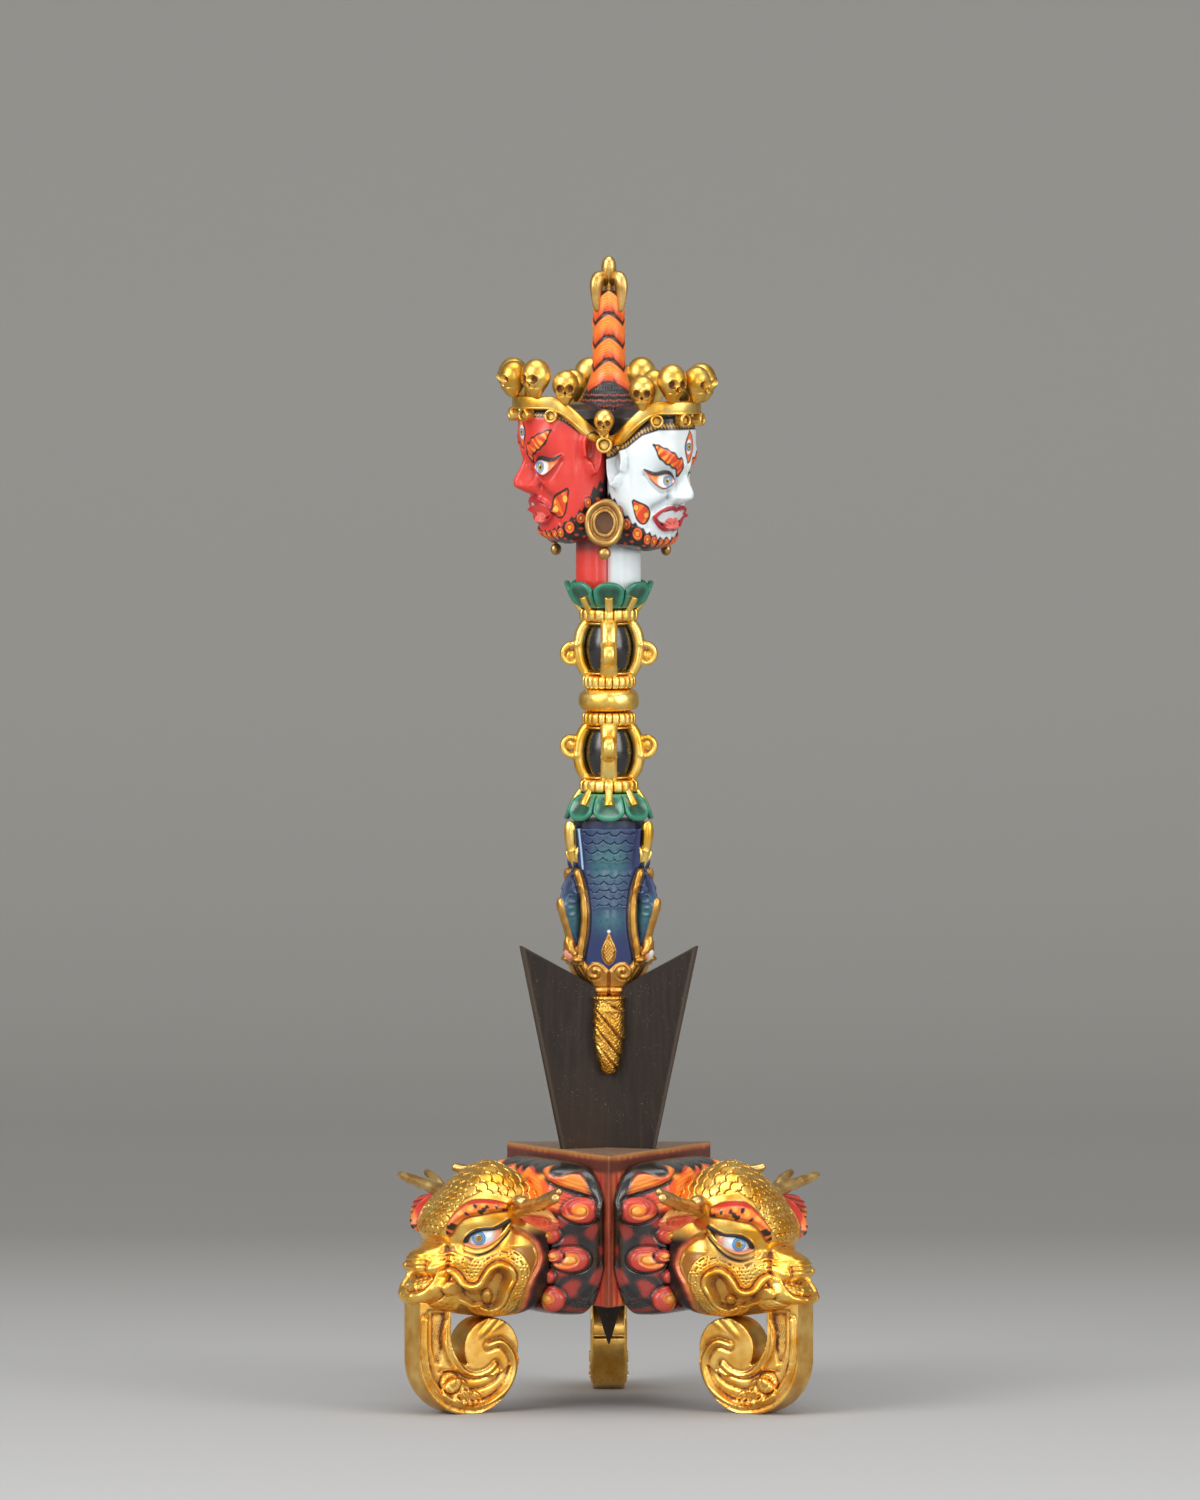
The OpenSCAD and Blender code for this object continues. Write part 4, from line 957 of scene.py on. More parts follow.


# %% [markdown]
# Gloss paint hides the wood completely, so each coat is a flat colour with a soft
# edge. The shade colour is painted shade: it is laid thin in the eye sockets, the ear
# bowls, the fold beside the mouth and under the jaw.

# %% Coats of a face
def face_paint(q, turn, ground, shade, rim, leaf_turn):
    t, h = q.T
    x = t * DEG
    colour = ground_coat(q, ground)
    e = in_outline(q, EYE, FACE)
    m = in_outline(q, MOUTH, FACE)
    # painted shade, laid thin: the eye socket, the ear bowl, the fold beside the mouth and the underside of
    # the jaw
    colour = coat(colour, 0.45 * bump(t, 30, 22) * bump(h, 18, 3.4), shade)
    colour = coat(colour, 0.5 * bump(t, 99, 8) * bump(h, 21.4, 3.4), shade)
    colour = coat(colour, 0.5 * bump(to_line(q, [(22, 13), (34, 11.6), (46, 10.4)], FACE)[0], 0, 0.8),
                  shade)
    colour = coat(colour, 0.4 * step(5.0 - h, 0, 4) * step(t, 20, 60), shade)
    # lips, teeth, tongue
    lip_up, _ = to_line(q, UPPER_LIP, FACE)
    lip_low, _ = to_line(q, LOWER_LIP, FACE)
    colour = coat(colour, edge(lip_up, 0.62), rim)
    colour = coat(colour, edge(lip_low, 0.8), rim)
    colour = coats(colour, [
        (step(m, 0.35, 0.55), "#5c1016"),
        (step(m, 0.3, 0.5) * edge(abs(h - 8.4 - 0.02 * t), 0.55, 0.1) * edge(abs(t), 40, 2),
         "#eadcc8"),
        (step(m, 0.3, 0.5) * edge(abs(h - 8.4 - 0.02 * t), 0.55, 0.1)
         * (abs(sin(t * 0.42)) < 0.2), "#8a2a22")])
    tongue = clip(1 - ((t - 8) / 15) ** 2 - ((h - 6.0) / 1.7) ** 2, 0, 1)
    colour = coat(colour, step(tongue, 0.05, 0.25), "#ef7b70")
    # eye
    colour = coats(colour, [
        (step(e, -0.05, 0.15), "#eef0ea"),
        (step(e, -0.05, 0.15) * step(t, 37, 42), "#ee8a4a"),
        (step(e, -0.05, 0.15) * edge(abs(e - 0.15), 0.22), "#e0623a")])
    iris = hypot((t - 25) * DEG, h - 17.3)
    seen = step(e, -0.1, 0.1)
    colour = discs(colour, iris, [(1.5, "#3f7ab4"), (1.28, "#8fb7d6"), (0.98, "#2a3a2c"),
                                  (0.84, "#c79a35"), (0.44, "#14110f")], seen)
    # a painted highlight: a white dot on the iris
    colour = coat(colour, edge(hypot((t - 23.4) * DEG, h - 17.9), 0.16, 0.08), "#ffffff")
    lid, k = to_line(q, UPPER_LID + (0, 0.25), FACE)
    colour = coats(colour, [
        (edge(lid, 0.22 + 0.34 * sin(pi * clip(k, 0.02, 1)) ** 0.7), "#120e0d"),
        (edge(to_line(q, LOWER_LID[2:13], FACE)[0], 0.12), "#3a2018")])
    # third eye, upright
    third = abs(turn + 1) * DEG / 1.6 + (abs(h - 26.2) / 4.1) ** 1.7
    colour = coats(colour, [
        (edge(third, 1.18, 0.1), "#120e0d"),
        (edge(third, 0.95, 0.08), "#e9733c"),
        (edge(hypot((turn - 1) * DEG / 1.05, (h - 26.2) / 2.3), 0.85, 0.1), "#e8edf0")])
    iris = hypot((turn - 1) * DEG, h - 26.2)
    colour = discs(colour, iris, [(1.15, "#5f97c6"), (0.8, "#2b3a30"), (0.66, "#d8ac45"),
                                  (0.36, "#14110f")])
    # brows
    b = in_outline(q, BROW, FACE)
    wave = 0.12 * sin(x * 2 * pi / 2.0)
    colour = coat(colour, step(b + wave, -0.5, -0.3), "#120e0d")
    colour = flames(colour, q, step(b + wave, -0.05, 0.15), FACE, 1.3)
    # flame leaf on the cheek
    leaf = in_outline(q + (leaf_turn, 0), spline(LEAF + LEAF[:1], 22), FACE)
    colour = coat(colour, step(leaf, -0.5, -0.3), "#120e0d")
    colour = flames(colour, q, step(leaf, 0.0, 0.2), FACE, 2.6)
    for lt, lh in [(70, 10.4), (55, 8.4)]:
        d = hypot((t + leaf_turn - lt) * DEG, h - lh)
        colour = coats(colour, [
            (edge(d, 0.75, 0.12), "#f4b63c"),
            (edge(abs(d - 0.8), 0.08, 0.08), "#b23a14")])
    # beard: black strokes along the jaw with ringed curls
    jaw = interp(t, [0, 20, 45, 62, 76, 90, 100, 120], [1.6, 2.0, 3.2, 4.8, 6.6, 9.0, 11.5, 14])
    stroke = jaw - h + 0.5 * sin(t * 0.55) * step(t, 10, 30)
    colour = coat(colour, step(stroke, -0.2, 0.3), "#1a1411")
    lick = sin(h * 3.1 + t * 0.12) + 0.6 * sin(t * 0.35 - h * 1.3)
    colour = coat(colour, step(stroke, 0.5, 0.9) * step(lick, 0.75, 1.2) * step(t, 6, 20), "#c9451c")
    for ct, ch, cr in CURLS:
        d = hypot((t - ct) * DEG, h - ch)
        colour = ringed_curl(colour, d, cr * 1.05)
    # band of jet with gold dashes under the crown
    low = interp(t, [0, 40, 60, 80, 110, 125], [30.6, 30.6, 29.2, 26.2, 22.8, 22])
    dash = (abs(sin(t * 0.8)) > 0.35) & (abs(h - low - 1.2 + 0.25 * sin(t * 1.6)) < 0.42)
    colour = coats(colour, [
        (step(h - low, -0.1, 0.2), "#14100e"),
        (1.0 * dash, "#c8963a")])
    seam = step(abs(turn), 118, 128)
    colour = coat(colour, 0.55 * seam * step(h, 2, 6), "#4a2a44")
    return colour


# %% [markdown]
# One function now draws a head for each colour. The carver's hand shows in small
# differences: the red face sits about three millimetres higher than the white one and
# has the longer nose.

# %% Heads
SECTOR_TAN = math.tan(math.radians(60))
HEAD_OUT = 11.5
HAND = {"white": ([-1.4, 37.6], [-1.3, 37.4], 0.0, 1.0),
        "red": ([-1.4, 2, 8, 12.6, 17, 24, 30, 37.6], [0.6, 3.8, 9.4, 15.6, 20.4, 27.8, 33.4, 37.6], 4.0,
                1.25),
        "blue": ([-1.4, 12, 37.6], [-0.6, 13.6, 37.6], 2.0, 1.1)}


def deity_head(name):
    pattern_z, real_z, shift, nose = HAND[name]

    def shape(turn, t):
        turn = turn - 22 * sin(np.radians(turn)) * (1 - 0.35 * cos(np.radians(turn)))
        h = interp(t, [0, 0.03, 0.06, 0.93, 0.97, 1], [-1.4, -1.25, -0.7, 34.5, 36.8, 37.6])
        q = np.stack([abs(turn) + shift * step(abs(turn), 6, 18), h], -1)
        r = head_radius(q, turn, h, nose)
        a, z = np.radians(turn), interp(h, pattern_z, real_z)
        limit = HEAD_OUT * SECTOR_TAN / np.maximum(abs(sin(a)) - cos(a) * SECTOR_TAN, 1e-3)
        lobe = np.where(abs(sin(a)) > cos(a) * SECTOR_TAN, limit - 0.15, 99)
        r = -np.logaddexp(-4 * lobe, -4 * r) / 4
        return polar(r, turn, CHIN + z, HEAD_OUT)

    return clay("head_" + name + "_carved", 420, 230, shape), shift, pattern_z, real_z


def face_coordinates(piece, shift, pattern_z, real_z):
    p = points(piece)
    turn = turn_of(p, HEAD_OUT)
    h = interp(p[:, 2] - CHIN, real_z, pattern_z)
    return np.stack([abs(turn) + shift * step(abs(turn), 6, 18), h], -1), turn


LEAF_TURN = {"red": 8, "white": 0, "blue": 3}
GROOVE_DIM = {"red": 0.35, "white": 0.55, "blue": 0.35}
# each face: its ground, its painted shade colour and its lip red
PAINTS = {"red": ("#d6362a", "#8a1c18", "#c0202a"), "white": ("#d8e0e2", "#76868f", "#ac1626"),
          "blue": ("#2c4f9a", "#14244e", "#c01f2c")}
NECK_LOW = span("head_red")[0]


def neck_shape(turn, t):
    z = NECK_LOW + (CHIN + 6 - NECK_LOW) * interp(t, [0, 0.08, 0.95, 1], [0, 0.01, 1, 1])
    r = interp(t, [0, 0.08, 0.2, 0.3, 0.95, 1], [0, 3.8, 4.9, 5.3, 5.2, 0])
    return polar(r, turn, z, 3.7)


for name, azimuth in FACES.items():
    head, shift, pattern_z, real_z = deity_head(name)
    q, turn = face_coordinates(head, shift, pattern_z, real_z)
    side = 1 if name == "red" else -1
    hollows(head, 30, 0.35)
    ground, shade, rim = PAINTS[name]
    brush(head, face_paint(q, turn * side, ground, shade, rim, LEAF_TURN[name]))
    neck = clay("neck", 96, 60, neck_shape)
    p = points(neck)
    p[:, 0] = np.maximum(p[:, 0], abs(p[:, 1]) / SECTOR_TAN + 0.1)
    place(neck, p)
    hollows(neck, 10, 0.4)
    seam = step(abs(turn_of(p)), 46, 60)
    colour = ground_coat(p, ground)
    if name != "blue":
        pink = "#c87878" if name == "white" else "#d86a68"
        colour = coat(colour, 0.75 * seam * (p[:, 1] * side > 0), pink)
    brush(neck, coat(colour, 0.7 * step(CHIN - p[:, 2], 2.5, 0.0), "#1a1411"))
    enamel = glossy(name + " gloss paint", rough=0.38, coat_weight=0.3, groove_dim=GROOVE_DIM[name],
                    bump_mm=0.035)
    piece = join("head_" + name + "_carved", [head, neck])
    to_frame(piece, "phurba", name + "_face_paint", enamel, ["head_" + name], azimuth, sharp=75)
    print(piece.name, len(piece.data.polygons), "faces")

# %% [markdown]
# The stand heads are gilded all over and then painted in places, so their material
# mixes leaf and paint by a third number, `gilt`. The dome is laid with scales like
# roof slates, and the cheeks are punched with rows of dots that follow the lip.

# %% Scales, dots and part gilding
def scales(x, y, width, pitch):
    """Overlapping round scales with free edges towards +y: height 0 to 1 and groove."""
    row = np.floor(y / pitch)
    height, groove = np.zeros(len(x)), np.zeros(len(x))
    for back in (2, 1, 0, -1):
        r = row - back
        shift = 0.5 * width * np.mod(r, 2)
        d = (hypot(x - shift - width * np.round((x - shift) / width), (y - r * pitch) * 0.92)
             / (0.60 * width))
        here = d < 1
        risen = 0.25 + 0.75 * clip(d, 0, 1) ** 2 * step((y - r * pitch) / width, -0.3, 0.35)
        height = np.where(here, risen, height)
        groove = np.where(here, bump(d, 0.62, 0.07) * (y > r * pitch),
                          np.where(d < 1.14, np.maximum(groove, 0.9), groove))
    return height, groove


def gilt_mask(piece, value):
    piece.data.attributes.new("gilt", "FLOAT", "POINT").data.foreach_set("value", clip(value, 0, 1))


def part_gilt(name, **kind):
    """Gold leaf with gloss paint where the `gilt` attribute falls to 0."""
    material = gilding(name, **kind)
    tree = material.node_tree
    shader = tree.nodes["Principled BSDF"]
    mask = add(tree, "Attribute", "Fac", attribute_name="gilt")
    paint = add(tree, "Attribute", "Color", attribute_name="paint")
    for key, painted, data in (("Base Color", paint, "RGBA"), ("Metallic", 0.0, "FLOAT"),
                               ("Roughness", 0.32, "FLOAT")):
        leaf = shader.inputs[key].links[0].from_socket
        feed(tree, shader, {key: add(tree, "Mix", "Result", {"Factor": mask, "A": painted, "B": leaf},
                                     data_type=data)})
    shader.inputs["Coat Weight"].default_value = 0.12
    return material


stand_gold = part_gilt("gold leaf and gloss paint", leaf="#efa830", light="#ffd670", ground="#b05c12",
                       dark="#5a2e0c", shine=0.34, wear=0.4)
print("material:", stand_gold.name)

# %% [markdown]
# A stand head in numbers: the turn from its middle and the height above its jaw. The
# lip runs in one long wave from the muzzle to the cheek and curls back at the jaw.

# %% Stand head pattern
STAND_AXIS = 36.0
DOT_PITCH = 0.85
JAW = BLOCK_LOW - 3.4
S = 0.3
HEAD = (S, 1)
LIP = spline([(0, 5.2), (5, 5.8), (12, 6.4), (18, 7.5), (21, 10), (24, 12.3), (28, 13.0), (33, 12),
              (38, 9.6), (45, 8.7), (53, 9.5), (58, 12), (63, 14),
              (70, 14.8), (78, 13.5), (81, 11), (77, 8), (75, 5), (70, 3.2), (60, 2.3), (52, 3.2)], 42)
MOUTH_DARK = np.vstack([LIP[16:], [(40, 3.0), (30, 5.0), (26, 8.0), (28, 11)]])
S_UPPER = spline([(39, 20.4), (43, 22.1), (49, 23.1), (56, 23.4), (66, 23.6), (80, 25.6)])
S_LOWER = spline([(39, 20.4), (44, 19.8), (51, 19.5), (60, 20.3), (70, 22.3), (80, 25.6)])
S_EYE = np.vstack([S_UPPER, S_LOWER[::-1]])
S_BROW_LOW = spline([(25, 21.8), (29, 22.2), (33, 24.4), (40, 26.7), (50, 27.4), (65, 28.2), (80, 28.4)])
S_BROW_HIGH = spline([(24, 23.0), (26, 26.0), (32, 29.4), (42, 31.4), (52, 31.8), (66, 31.6), (80, 30.4)])
S_BROW = np.vstack([S_BROW_LOW, S_BROW_HIGH[::-1]])
S_BROW_MID = (S_BROW_LOW + S_BROW_HIGH) / 2
CHEEK = spline([(84, 24.0), (95, 22.6), (105, 20), (109, 16), (104, 13), (99, 11), (96, 8), (98, 5),
                (104, 2)], 24)
print("stand head: lip of", len(LIP), "points, jaw at", JAW)


def skull_grid(p):
    """Places on the dome as (across, forward) in mm, measured over its round."""
    du, v, dz = p[:, 0] - (STAND_AXIS + 1), p[:, 1], p[:, 2] - JAW - 17
    far = hypot(du, dz)
    return np.arctan2(v, far) * 19, np.arctan2(du, dz) * 19


# %% [markdown]
# The skin of a stand head is built like that of a face. The muzzle and the nose are
# tables of how far they stand out at each height.

# %% Skin of a stand head
def stand_head_radius(turn, h):
    t = abs(turn)
    q = np.stack([t, h], -1)
    front = soft(h, [0, 0.5, 1.5, 3, 5, 8, 12, 15.4, 18, 20, 22, 25, 28, 31, 34.6, 37.6, 40.0, 41.4],
                 [0, 4.5, 8, 10.8, 13.2, 15.2, 16.4, 17.0, 17.2, 17.2, 18.0, 18.4, 17.0, 14.2, 10.8, 7.4,
                  3.8, 0])
    side = soft(h, [0, 0.5, 1.5, 3, 6, 9, 14, 18, 22, 27, 31, 34.6, 38, 40.4, 41.4],
                [0, 6, 10.2, 13, 15.6, 16.8, 17.1, 16.8, 16, 14.9, 13.9, 12.2, 8.8, 4.6, 0])
    c, s = np.absolute(cos_sin(turn))
    r = ((c / np.maximum(front, 0.01)) ** 2.4 + (s / np.maximum(side, 0.01)) ** 2.4) ** (-1 / 2.4)
    low = step(h, 0.3, 3.0)
    # muzzle and nose
    muzzle = soft(h, [0.6, 1.4, 2.2, 3.2, 4.4, 6.3, 8.9, 11, 13, 16, 18.5],
                  [0, 3.0, 6.6, 8.9, 9.6, 9.3, 8.0, 5.4, 3.6, 1.6, 0], 0.6)
    r = r + muzzle * np.exp(-abs(t / 27) ** 3.0)
    nose = soft(h, [11.2, 12.2, 13.4, 15.2, 16.8, 18.2, 19.2, 20.2], [0, 1.6, 3.6, 4.8, 4.9, 3.6, 1.4, 0],
                0.6)
    r = r + nose * np.exp(-abs(t / 15.5) ** 3.2) + 2.6 * bump(t, 18, 4.4) * bump(h, 13.6, 2.0)
    r = (r - 1.0 * bump(t, 11.5, 1.8) * bump(h, 14.2, 2.2)
         - 0.8 * np.exp(-((t - 8) / 9) ** 4 - ((h - 11.2) / 0.8) ** 2))
    r = r - 1.1 * bump(to_line(q, [(20, 18.6), (24, 15.5), (24, 11.5)], HEAD)[0], 0, 0.9)
    r = (r - 1.2 * bump(t, 0, 26) * bump(h, 20.3, 1.3) + 0.18 * np.exp(-(t / 14) ** 4) * sin(h * 5.2)
         * step(h, 12.5, 13.5) * step(18.0 - h, 0, 1))
    # brow, eye
    _, k = to_line(q, S_BROW_MID, HEAD)
    b = in_outline(q, S_BROW, HEAD)
    r = r + 2.3 * step(b, -0.3, 1.3) * (1 - 0.25 * k)
    e = in_outline(q, S_EYE, HEAD)
    r = (r - 1.9 * np.exp(-((t - 55) / 19) ** 4 - ((h - 21.4) / 3.6) ** 2)
         - 0.8 * bump(t, 34, 5) * bump(h, 19.5, 3))
    r = r - 1.5 * step(e, 0.0, 0.5) + 0.75 * bump(e + 0.35, 0, 0.42)
    r = (r + 0.35 * bump(to_line(q, S_LOWER - (0, 1.7), HEAD)[0], 0, 0.45)
         - 0.45 * bump(to_line(q, S_LOWER - (0, 2.4), HEAD)[0], 0, 0.4))
    # cheek, lip wave and mouth
    r = r + 1.4 * bump(t, 88, 17) * bump(h, 15, 6) + 1.0 * bump(t, 30, 9) * bump(h, 15.4, 2.2)
    lip, along = to_line(q, LIP, HEAD)
    wide = 1.55 - 0.75 * step(along, 0.0, 0.3)
    r = r + low * (0.9 + 0.75 * wide) * dome(lip, wide) - 0.5 * bump(lip - wide - 0.35, 0, 0.35)
    m = in_outline(q, MOUTH_DARK, HEAD)
    r = r - 2.4 * step(m, 0.6, 2.0) * low
    for tt, th in [(28.5, 8.6), (58, 6.4)]:
        d = hypot((t - tt) * S / 1.1, (h - th) / 1.25)
        r = r + 2.2 * dome(d, 1.5)
    d = hypot(t * 0.42, h - 7.2)
    r = r + 0.4 * bump(d, 2.6, 0.5) + 0.3 * edge(d, 1.6, 0.4)
    r = r - 0.7 * bump(to_line(q, CHEEK, HEAD)[0], 0, 0.6) * low
    return r, q, lip, along, wide, m, b, e


# %% [markdown]
# The head is then covered: scales on the dome, punched dots beside the lip, red and
# orange on the brow, and thin dark lines where the gold was left open. Painted shade
# lies in the mouth, under the eye and in the grooves of the scales and dots.

# %% Stand head
def stand_head(name, lift):
    def warp(h):
        return h + lift * step(h, 3, 9) * (1 - step(h, 28, 34))

    def shape(turn, t):
        turn = turn - 16 * sin(np.radians(turn)) * (1 - 0.5 * cos(np.radians(turn)))
        h = interp(t, [0, 0.02, 0.96, 1], [0, 0.5, 40.3, 41.4])
        r = stand_head_radius(turn, h)[0]
        a = np.radians(turn)
        back = np.where(cos(a) < 0, (STAND_AXIS - 26.4) / np.maximum(-cos(a), 1e-3), 99)
        r = -np.logaddexp(-5 * r, -5 * back) / 5
        return polar(r, turn, JAW + warp(h), STAND_AXIS)

    head = clay(name, 400, 232, shape)
    p = points(head)
    heights = np.linspace(0, 41.4, 400)
    h = interp(p[:, 2] - JAW, warp(heights), heights)
    turn = turn_of(p, STAND_AXIS)
    _, q, lip, along, wide, m, b, e = stand_head_radius(turn, h)
    t = abs(turn)
    low = step(h, 0.3, 3.0)
    on_lip = edge(lip, wide, 0.2)
    # scales over the dome and down to the brow
    line = interp(t, [0, 14, 24, 34, 50, 80, 100, 180], [21.6, 21.6, 25, 31.5, 33.6, 32.6, 30, 28])
    area = step(h - line, -0.1, 0.5) * (1 - step(b, -0.4, 0.0))
    x, y = skull_grid(p)
    small = step(y, 3, 16)
    h1, g1 = scales(x, y, 3.3, 2.4)
    h2, g2 = scales(x, y, 2.4, 1.8)
    lift_, groove = np.where(small < 0.5, h1, h2), np.where(small < 0.5, g1, g2)
    # dots punched in rows along the lip
    punched = (step(lip, wide + 0.7, wide + 1.2) * step(19.4 - h, -0.3, 0.6) * (1 - on_lip)
               * step(np.where(t > 92, cheek_side(h) - t, 20), 2, 4) * step(t, 16, 22))
    punched = np.maximum(punched, step(11.3 - h, 0, 0.5) * step(lip, wide + 0.4, wide + 0.8) * (t < 22)
                         * (h > 5))
    punched = punched * (1 - step(m, -0.6, 0.0)) * step(-e - 2.9, 0, 0.4)
    run = along * 46
    row = np.round(lip / DOT_PITCH)
    dot = (clip(cos(pi * 2 * lip / DOT_PITCH), 0, 1)
           * clip(cos(pi * 2 * (run / DOT_PITCH + 0.5 * np.mod(row, 2))), 0, 1))
    relief(head, lambda _: 1.1 * area * (lift_ - 0.5) - 0.6 * area * groove - 0.55 * punched * dot ** 0.7
           + 0.08 * punched)
    hollows(head, 26, 0.42)
    # brushwork
    colour = ground_coat(p, "#6e3a1a")
    gold = np.ones(len(p))
    # painted shade inside the mouth, where the gold is dimmed; its deep back corner is painted near black
    shade = step(m, 0.3, 1.0) * low
    colour = coat(colour, step(m, 1.3, 2.4) * (t > 33) * (h < 7), "#120c08")
    gold = gold * (1 - 0.4 * shade)
    # painted shade under the eye, where the socket is carved deep; strongest on the right head
    dimmed = 0.8 * np.exp(-((t - 55) / 18) ** 4 - ((h - 18.6) / 2.3) ** 2) * (1.0 if lift < 0 else 0.3)
    colour = coat(colour, dimmed, "#3c1d12")
    gold = gold * (1 - dimmed)
    ring = edge(abs(e + 0.1), 0.42) * (h < 22.4)
    colour, gold = coat(colour, ring, "#e08a5c"), gold * (1 - ring)
    under = edge(to_line(q, S_LOWER[2:] - (0, 2.2), HEAD)[0], 0.32) * step(t, 42, 52)
    colour, gold = coat(colour, under, "#2a140c"), gold * (1 - under)
    lid = edge(to_line(q, S_UPPER + (0, 0.35), HEAD)[0], 0.62)
    colour, gold = coat(colour, lid, "#100d0c"), gold * (1 - lid)
    # painted shade in the scale grooves and the punched dots
    groove_shade = np.maximum(area * groove * 0.85, 0.8 * punched * (dot > 0.3))
    colour, gold = coat(colour, groove_shade, "#7a3c10"), gold * (1 - groove_shade)
    brow = step(b, -0.35, 0.05)
    x, y = q[:, 0] * S, q[:, 1]
    swirl = sin(x * 1.9 + 1.4 * sin(y * 1.1)) + 0.7 * sin(x * 0.9 - y * 2.1 + 1)
    colour = coats(colour, [
        (brow, "#e36f22"),
        (brow * step(swirl, 0.3, 1.1), "#f39a35"),
        (brow * step(h - interp(t, [24, 40, 52, 80], [24.5, 30.0, 30.6, 30.0]), 0, 0.6), "#b7241b")])
    for bt, bh, br in [(31, 24.6, 0.9), (27, 23.2, 0.7), (54, 28.6, 0.8), (58, 29.6, 0.6),
                       (49, 30.2, 0.6), (76, 28.4, 1.0), (68, 29.8, 0.5), (42, 28.0, 0.45)]:
        d = hypot((t - bt) * S, h - bh) + 0.25 * sin(t * 1.1 + h * 3)
        colour = coat(colour, brow * edge(d, br, 0.2), "#1a120e")
    colour = coat(colour, edge(abs(b), 0.16) * (b > -0.3), "#7a1f14")
    gold = gold * (1 - brow)
    beyond = step(t - cheek_side(h), 0, 4) * step(26.5 - h, 0, 5)
    colour = coat(colour, beyond, "#15100e")
    rim = bump(t - cheek_side(h) - 2, 0, 3.5) * step(24.5 - h, 0, 2) * low
    colour, gold = coat(colour, 0.8 * rim, "#c4432a"), gold * (1 - np.maximum(beyond, 0.7 * rim))
    brush(head, colour)
    gilt_mask(head, gold)
    return head


def cheek_side(h):
    return interp(h, [2, 5, 8, 11, 13, 16, 20, 22.6, 24], [104, 98, 96, 99, 104, 109, 105, 95, 84])


# %% [markdown]
# Each eye is a white almond set behind the lids, with a blue iris ringed in yellow.
# It is a piece of its own, so that its paint can be glossier than the gold.

# %% Stand eye
def stand_eye(name, lift):
    centre_turn, tilt = 57, 0.12

    def shape(turn, t):
        a, b = np.radians(turn), pi * t
        across, up, out = 6.0 * cos(a) * sin(b), 3.1 * sin(a) * sin(b), 2.5 * cos(b)
        out = 13.7 + out - 0.022 * across ** 2
        c = math.radians(centre_turn)
        return np.stack([STAND_AXIS + out * math.cos(c) - across * math.sin(c),
                         out * math.sin(c) + across * math.cos(c),
                         JAW + 21.7 + lift + up + tilt * across], -1)
    eye = clay(name, 96, 64, shape)
    p = points(eye)
    t = turn_of(p, STAND_AXIS)
    h = p[:, 2] - JAW - lift
    colour = ground_coat(p, "#dfe4e6")
    colour = coat(colour, step(t, 61, 69), "#e79a6a")
    d = hypot((t - 51) * 0.29, h - 21.5)
    brush(eye, discs(colour, d, [(1.85, "#2d74b8"), (1.6, "#5aa6dd"), (1.12, "#1c1c16"),
                                 (0.98, "#c0942f"), (0.6, "#15110c"), (0.36, "#d3a545"),
                                 (0.22, "#15110c")]))
    hollows(eye, 4)
    return eye


# %% [markdown]
# A horn forks once, like an antler. It is two rolls and a round root, fused so that
# the fork grows out of the stem, and then grooved a little.

# %% Stand horn
def stand_horn(name):
    main = clay("main", 28, 70, roll([[35, 14, 53.4, 2.4, 2.4], [35.4, 18, 54.3, 2.3, 2.2],
                                      [36, 23, 55.2, 2.0, 1.9], [37, 29, 56.4, 1.75, 1.6],
                                      [38.2, 35, 57.6, 1.6, 1.45], [39.0, 39, 58.4, 1.45, 1.3],
                                      [39.4, 41.3, 58.9, 1.2, 1.0]], ref=(0, 0, 1), cap=0.05))
    fork = clay("fork", 24, 50, roll([[35.6, 24, 55.4, 1.2, 1.2], [35.4, 27, 57.0, 1.35, 1.3],
                                      [35.0, 31, 58.6, 1.3, 1.2], [34.8, 35.6, 59.9, 1.0, 0.9]],
                                     ref=(0, 0, 1), cap=0.1))
    knob = ball("knob", 28, 20, (36.4, 17.0, 56.0), (2.0, -3.2, 1.7), "y")
    horn = fuse(name, [main, fork, knob], 0.28, 3)
    relief(horn, lambda p: 0.10 * sin(p[:, 0] * 2.2 + p[:, 2] * 1.4) * sin(p[:, 1] * 0.7))
    return horn


# %% [markdown]
# The ears are flat leaves. On the two heads in front, the ear on the far side hangs
# lower than the near one and is a deeper red.

# %% Stand ear
def stand_ear(name, tall):
    """A leaf of an ear with a rolled rim and a grooved hollow; a tall one hangs lower."""
    def shape(turn, t):
        if tall:
            stations = [[34.4, 15.4, 51.0, 1.6, 1.4], [34.8, 19, 51.0, 2.6, 1.5],
                        [35.2, 24, 50.6, 4.0, 1.7], [36.2, 29, 49.6, 4.9, 1.6],
                        [37.2, 33.5, 48.4, 4.6, 1.4], [37.8, 36.6, 47.0, 1.6, 0.9]]
        else:
            stations = [[34.4, 15.4, 51.6, 1.4, 1.4], [34.8, 19, 51.9, 2.0, 1.5],
                        [35.4, 25, 52.0, 2.7, 1.7], [36.4, 31, 52.2, 2.9, 1.6],
                        [37.4, 35.6, 52.4, 2.2, 1.3], [38.0, 38.4, 52.6, 0.8, 0.8]]
        run = smooth(stations, t)
        close = np.sqrt(clip(1 - clip(1 - np.minimum(t, 1 - t) / 0.1, 0, 1) ** 2, 0, 1))
        c, s = cos_sin(turn)
        cup = np.where(s > 0, 1.1 * step(0.62 - abs(c), 0, 0.5) * step(t, 0.12, 0.3)
                       * step(1 - t, 0.04, 0.2), 0)
        wave = 0.6 * sin(t * 9) * c
        out = run[:, 4] * s * close - cup * run[:, 4]
        return run[:, :3] + np.stack([out + 0.25 * c * run[:, 3] + wave, 0.1 * out,
                                      run[:, 3] * c * close], -1)
    ear = clay(name, 96, 110, shape)
    relief(ear, lambda p: 0.16 * sin((p[:, 2] + 0.25 * p[:, 1]) * 5.2) * step(p[:, 0], 35.2, 36.4))
    return ear


# %% [markdown]
# Now each side gets its head, eyes, horns and ears, with its own small differences.

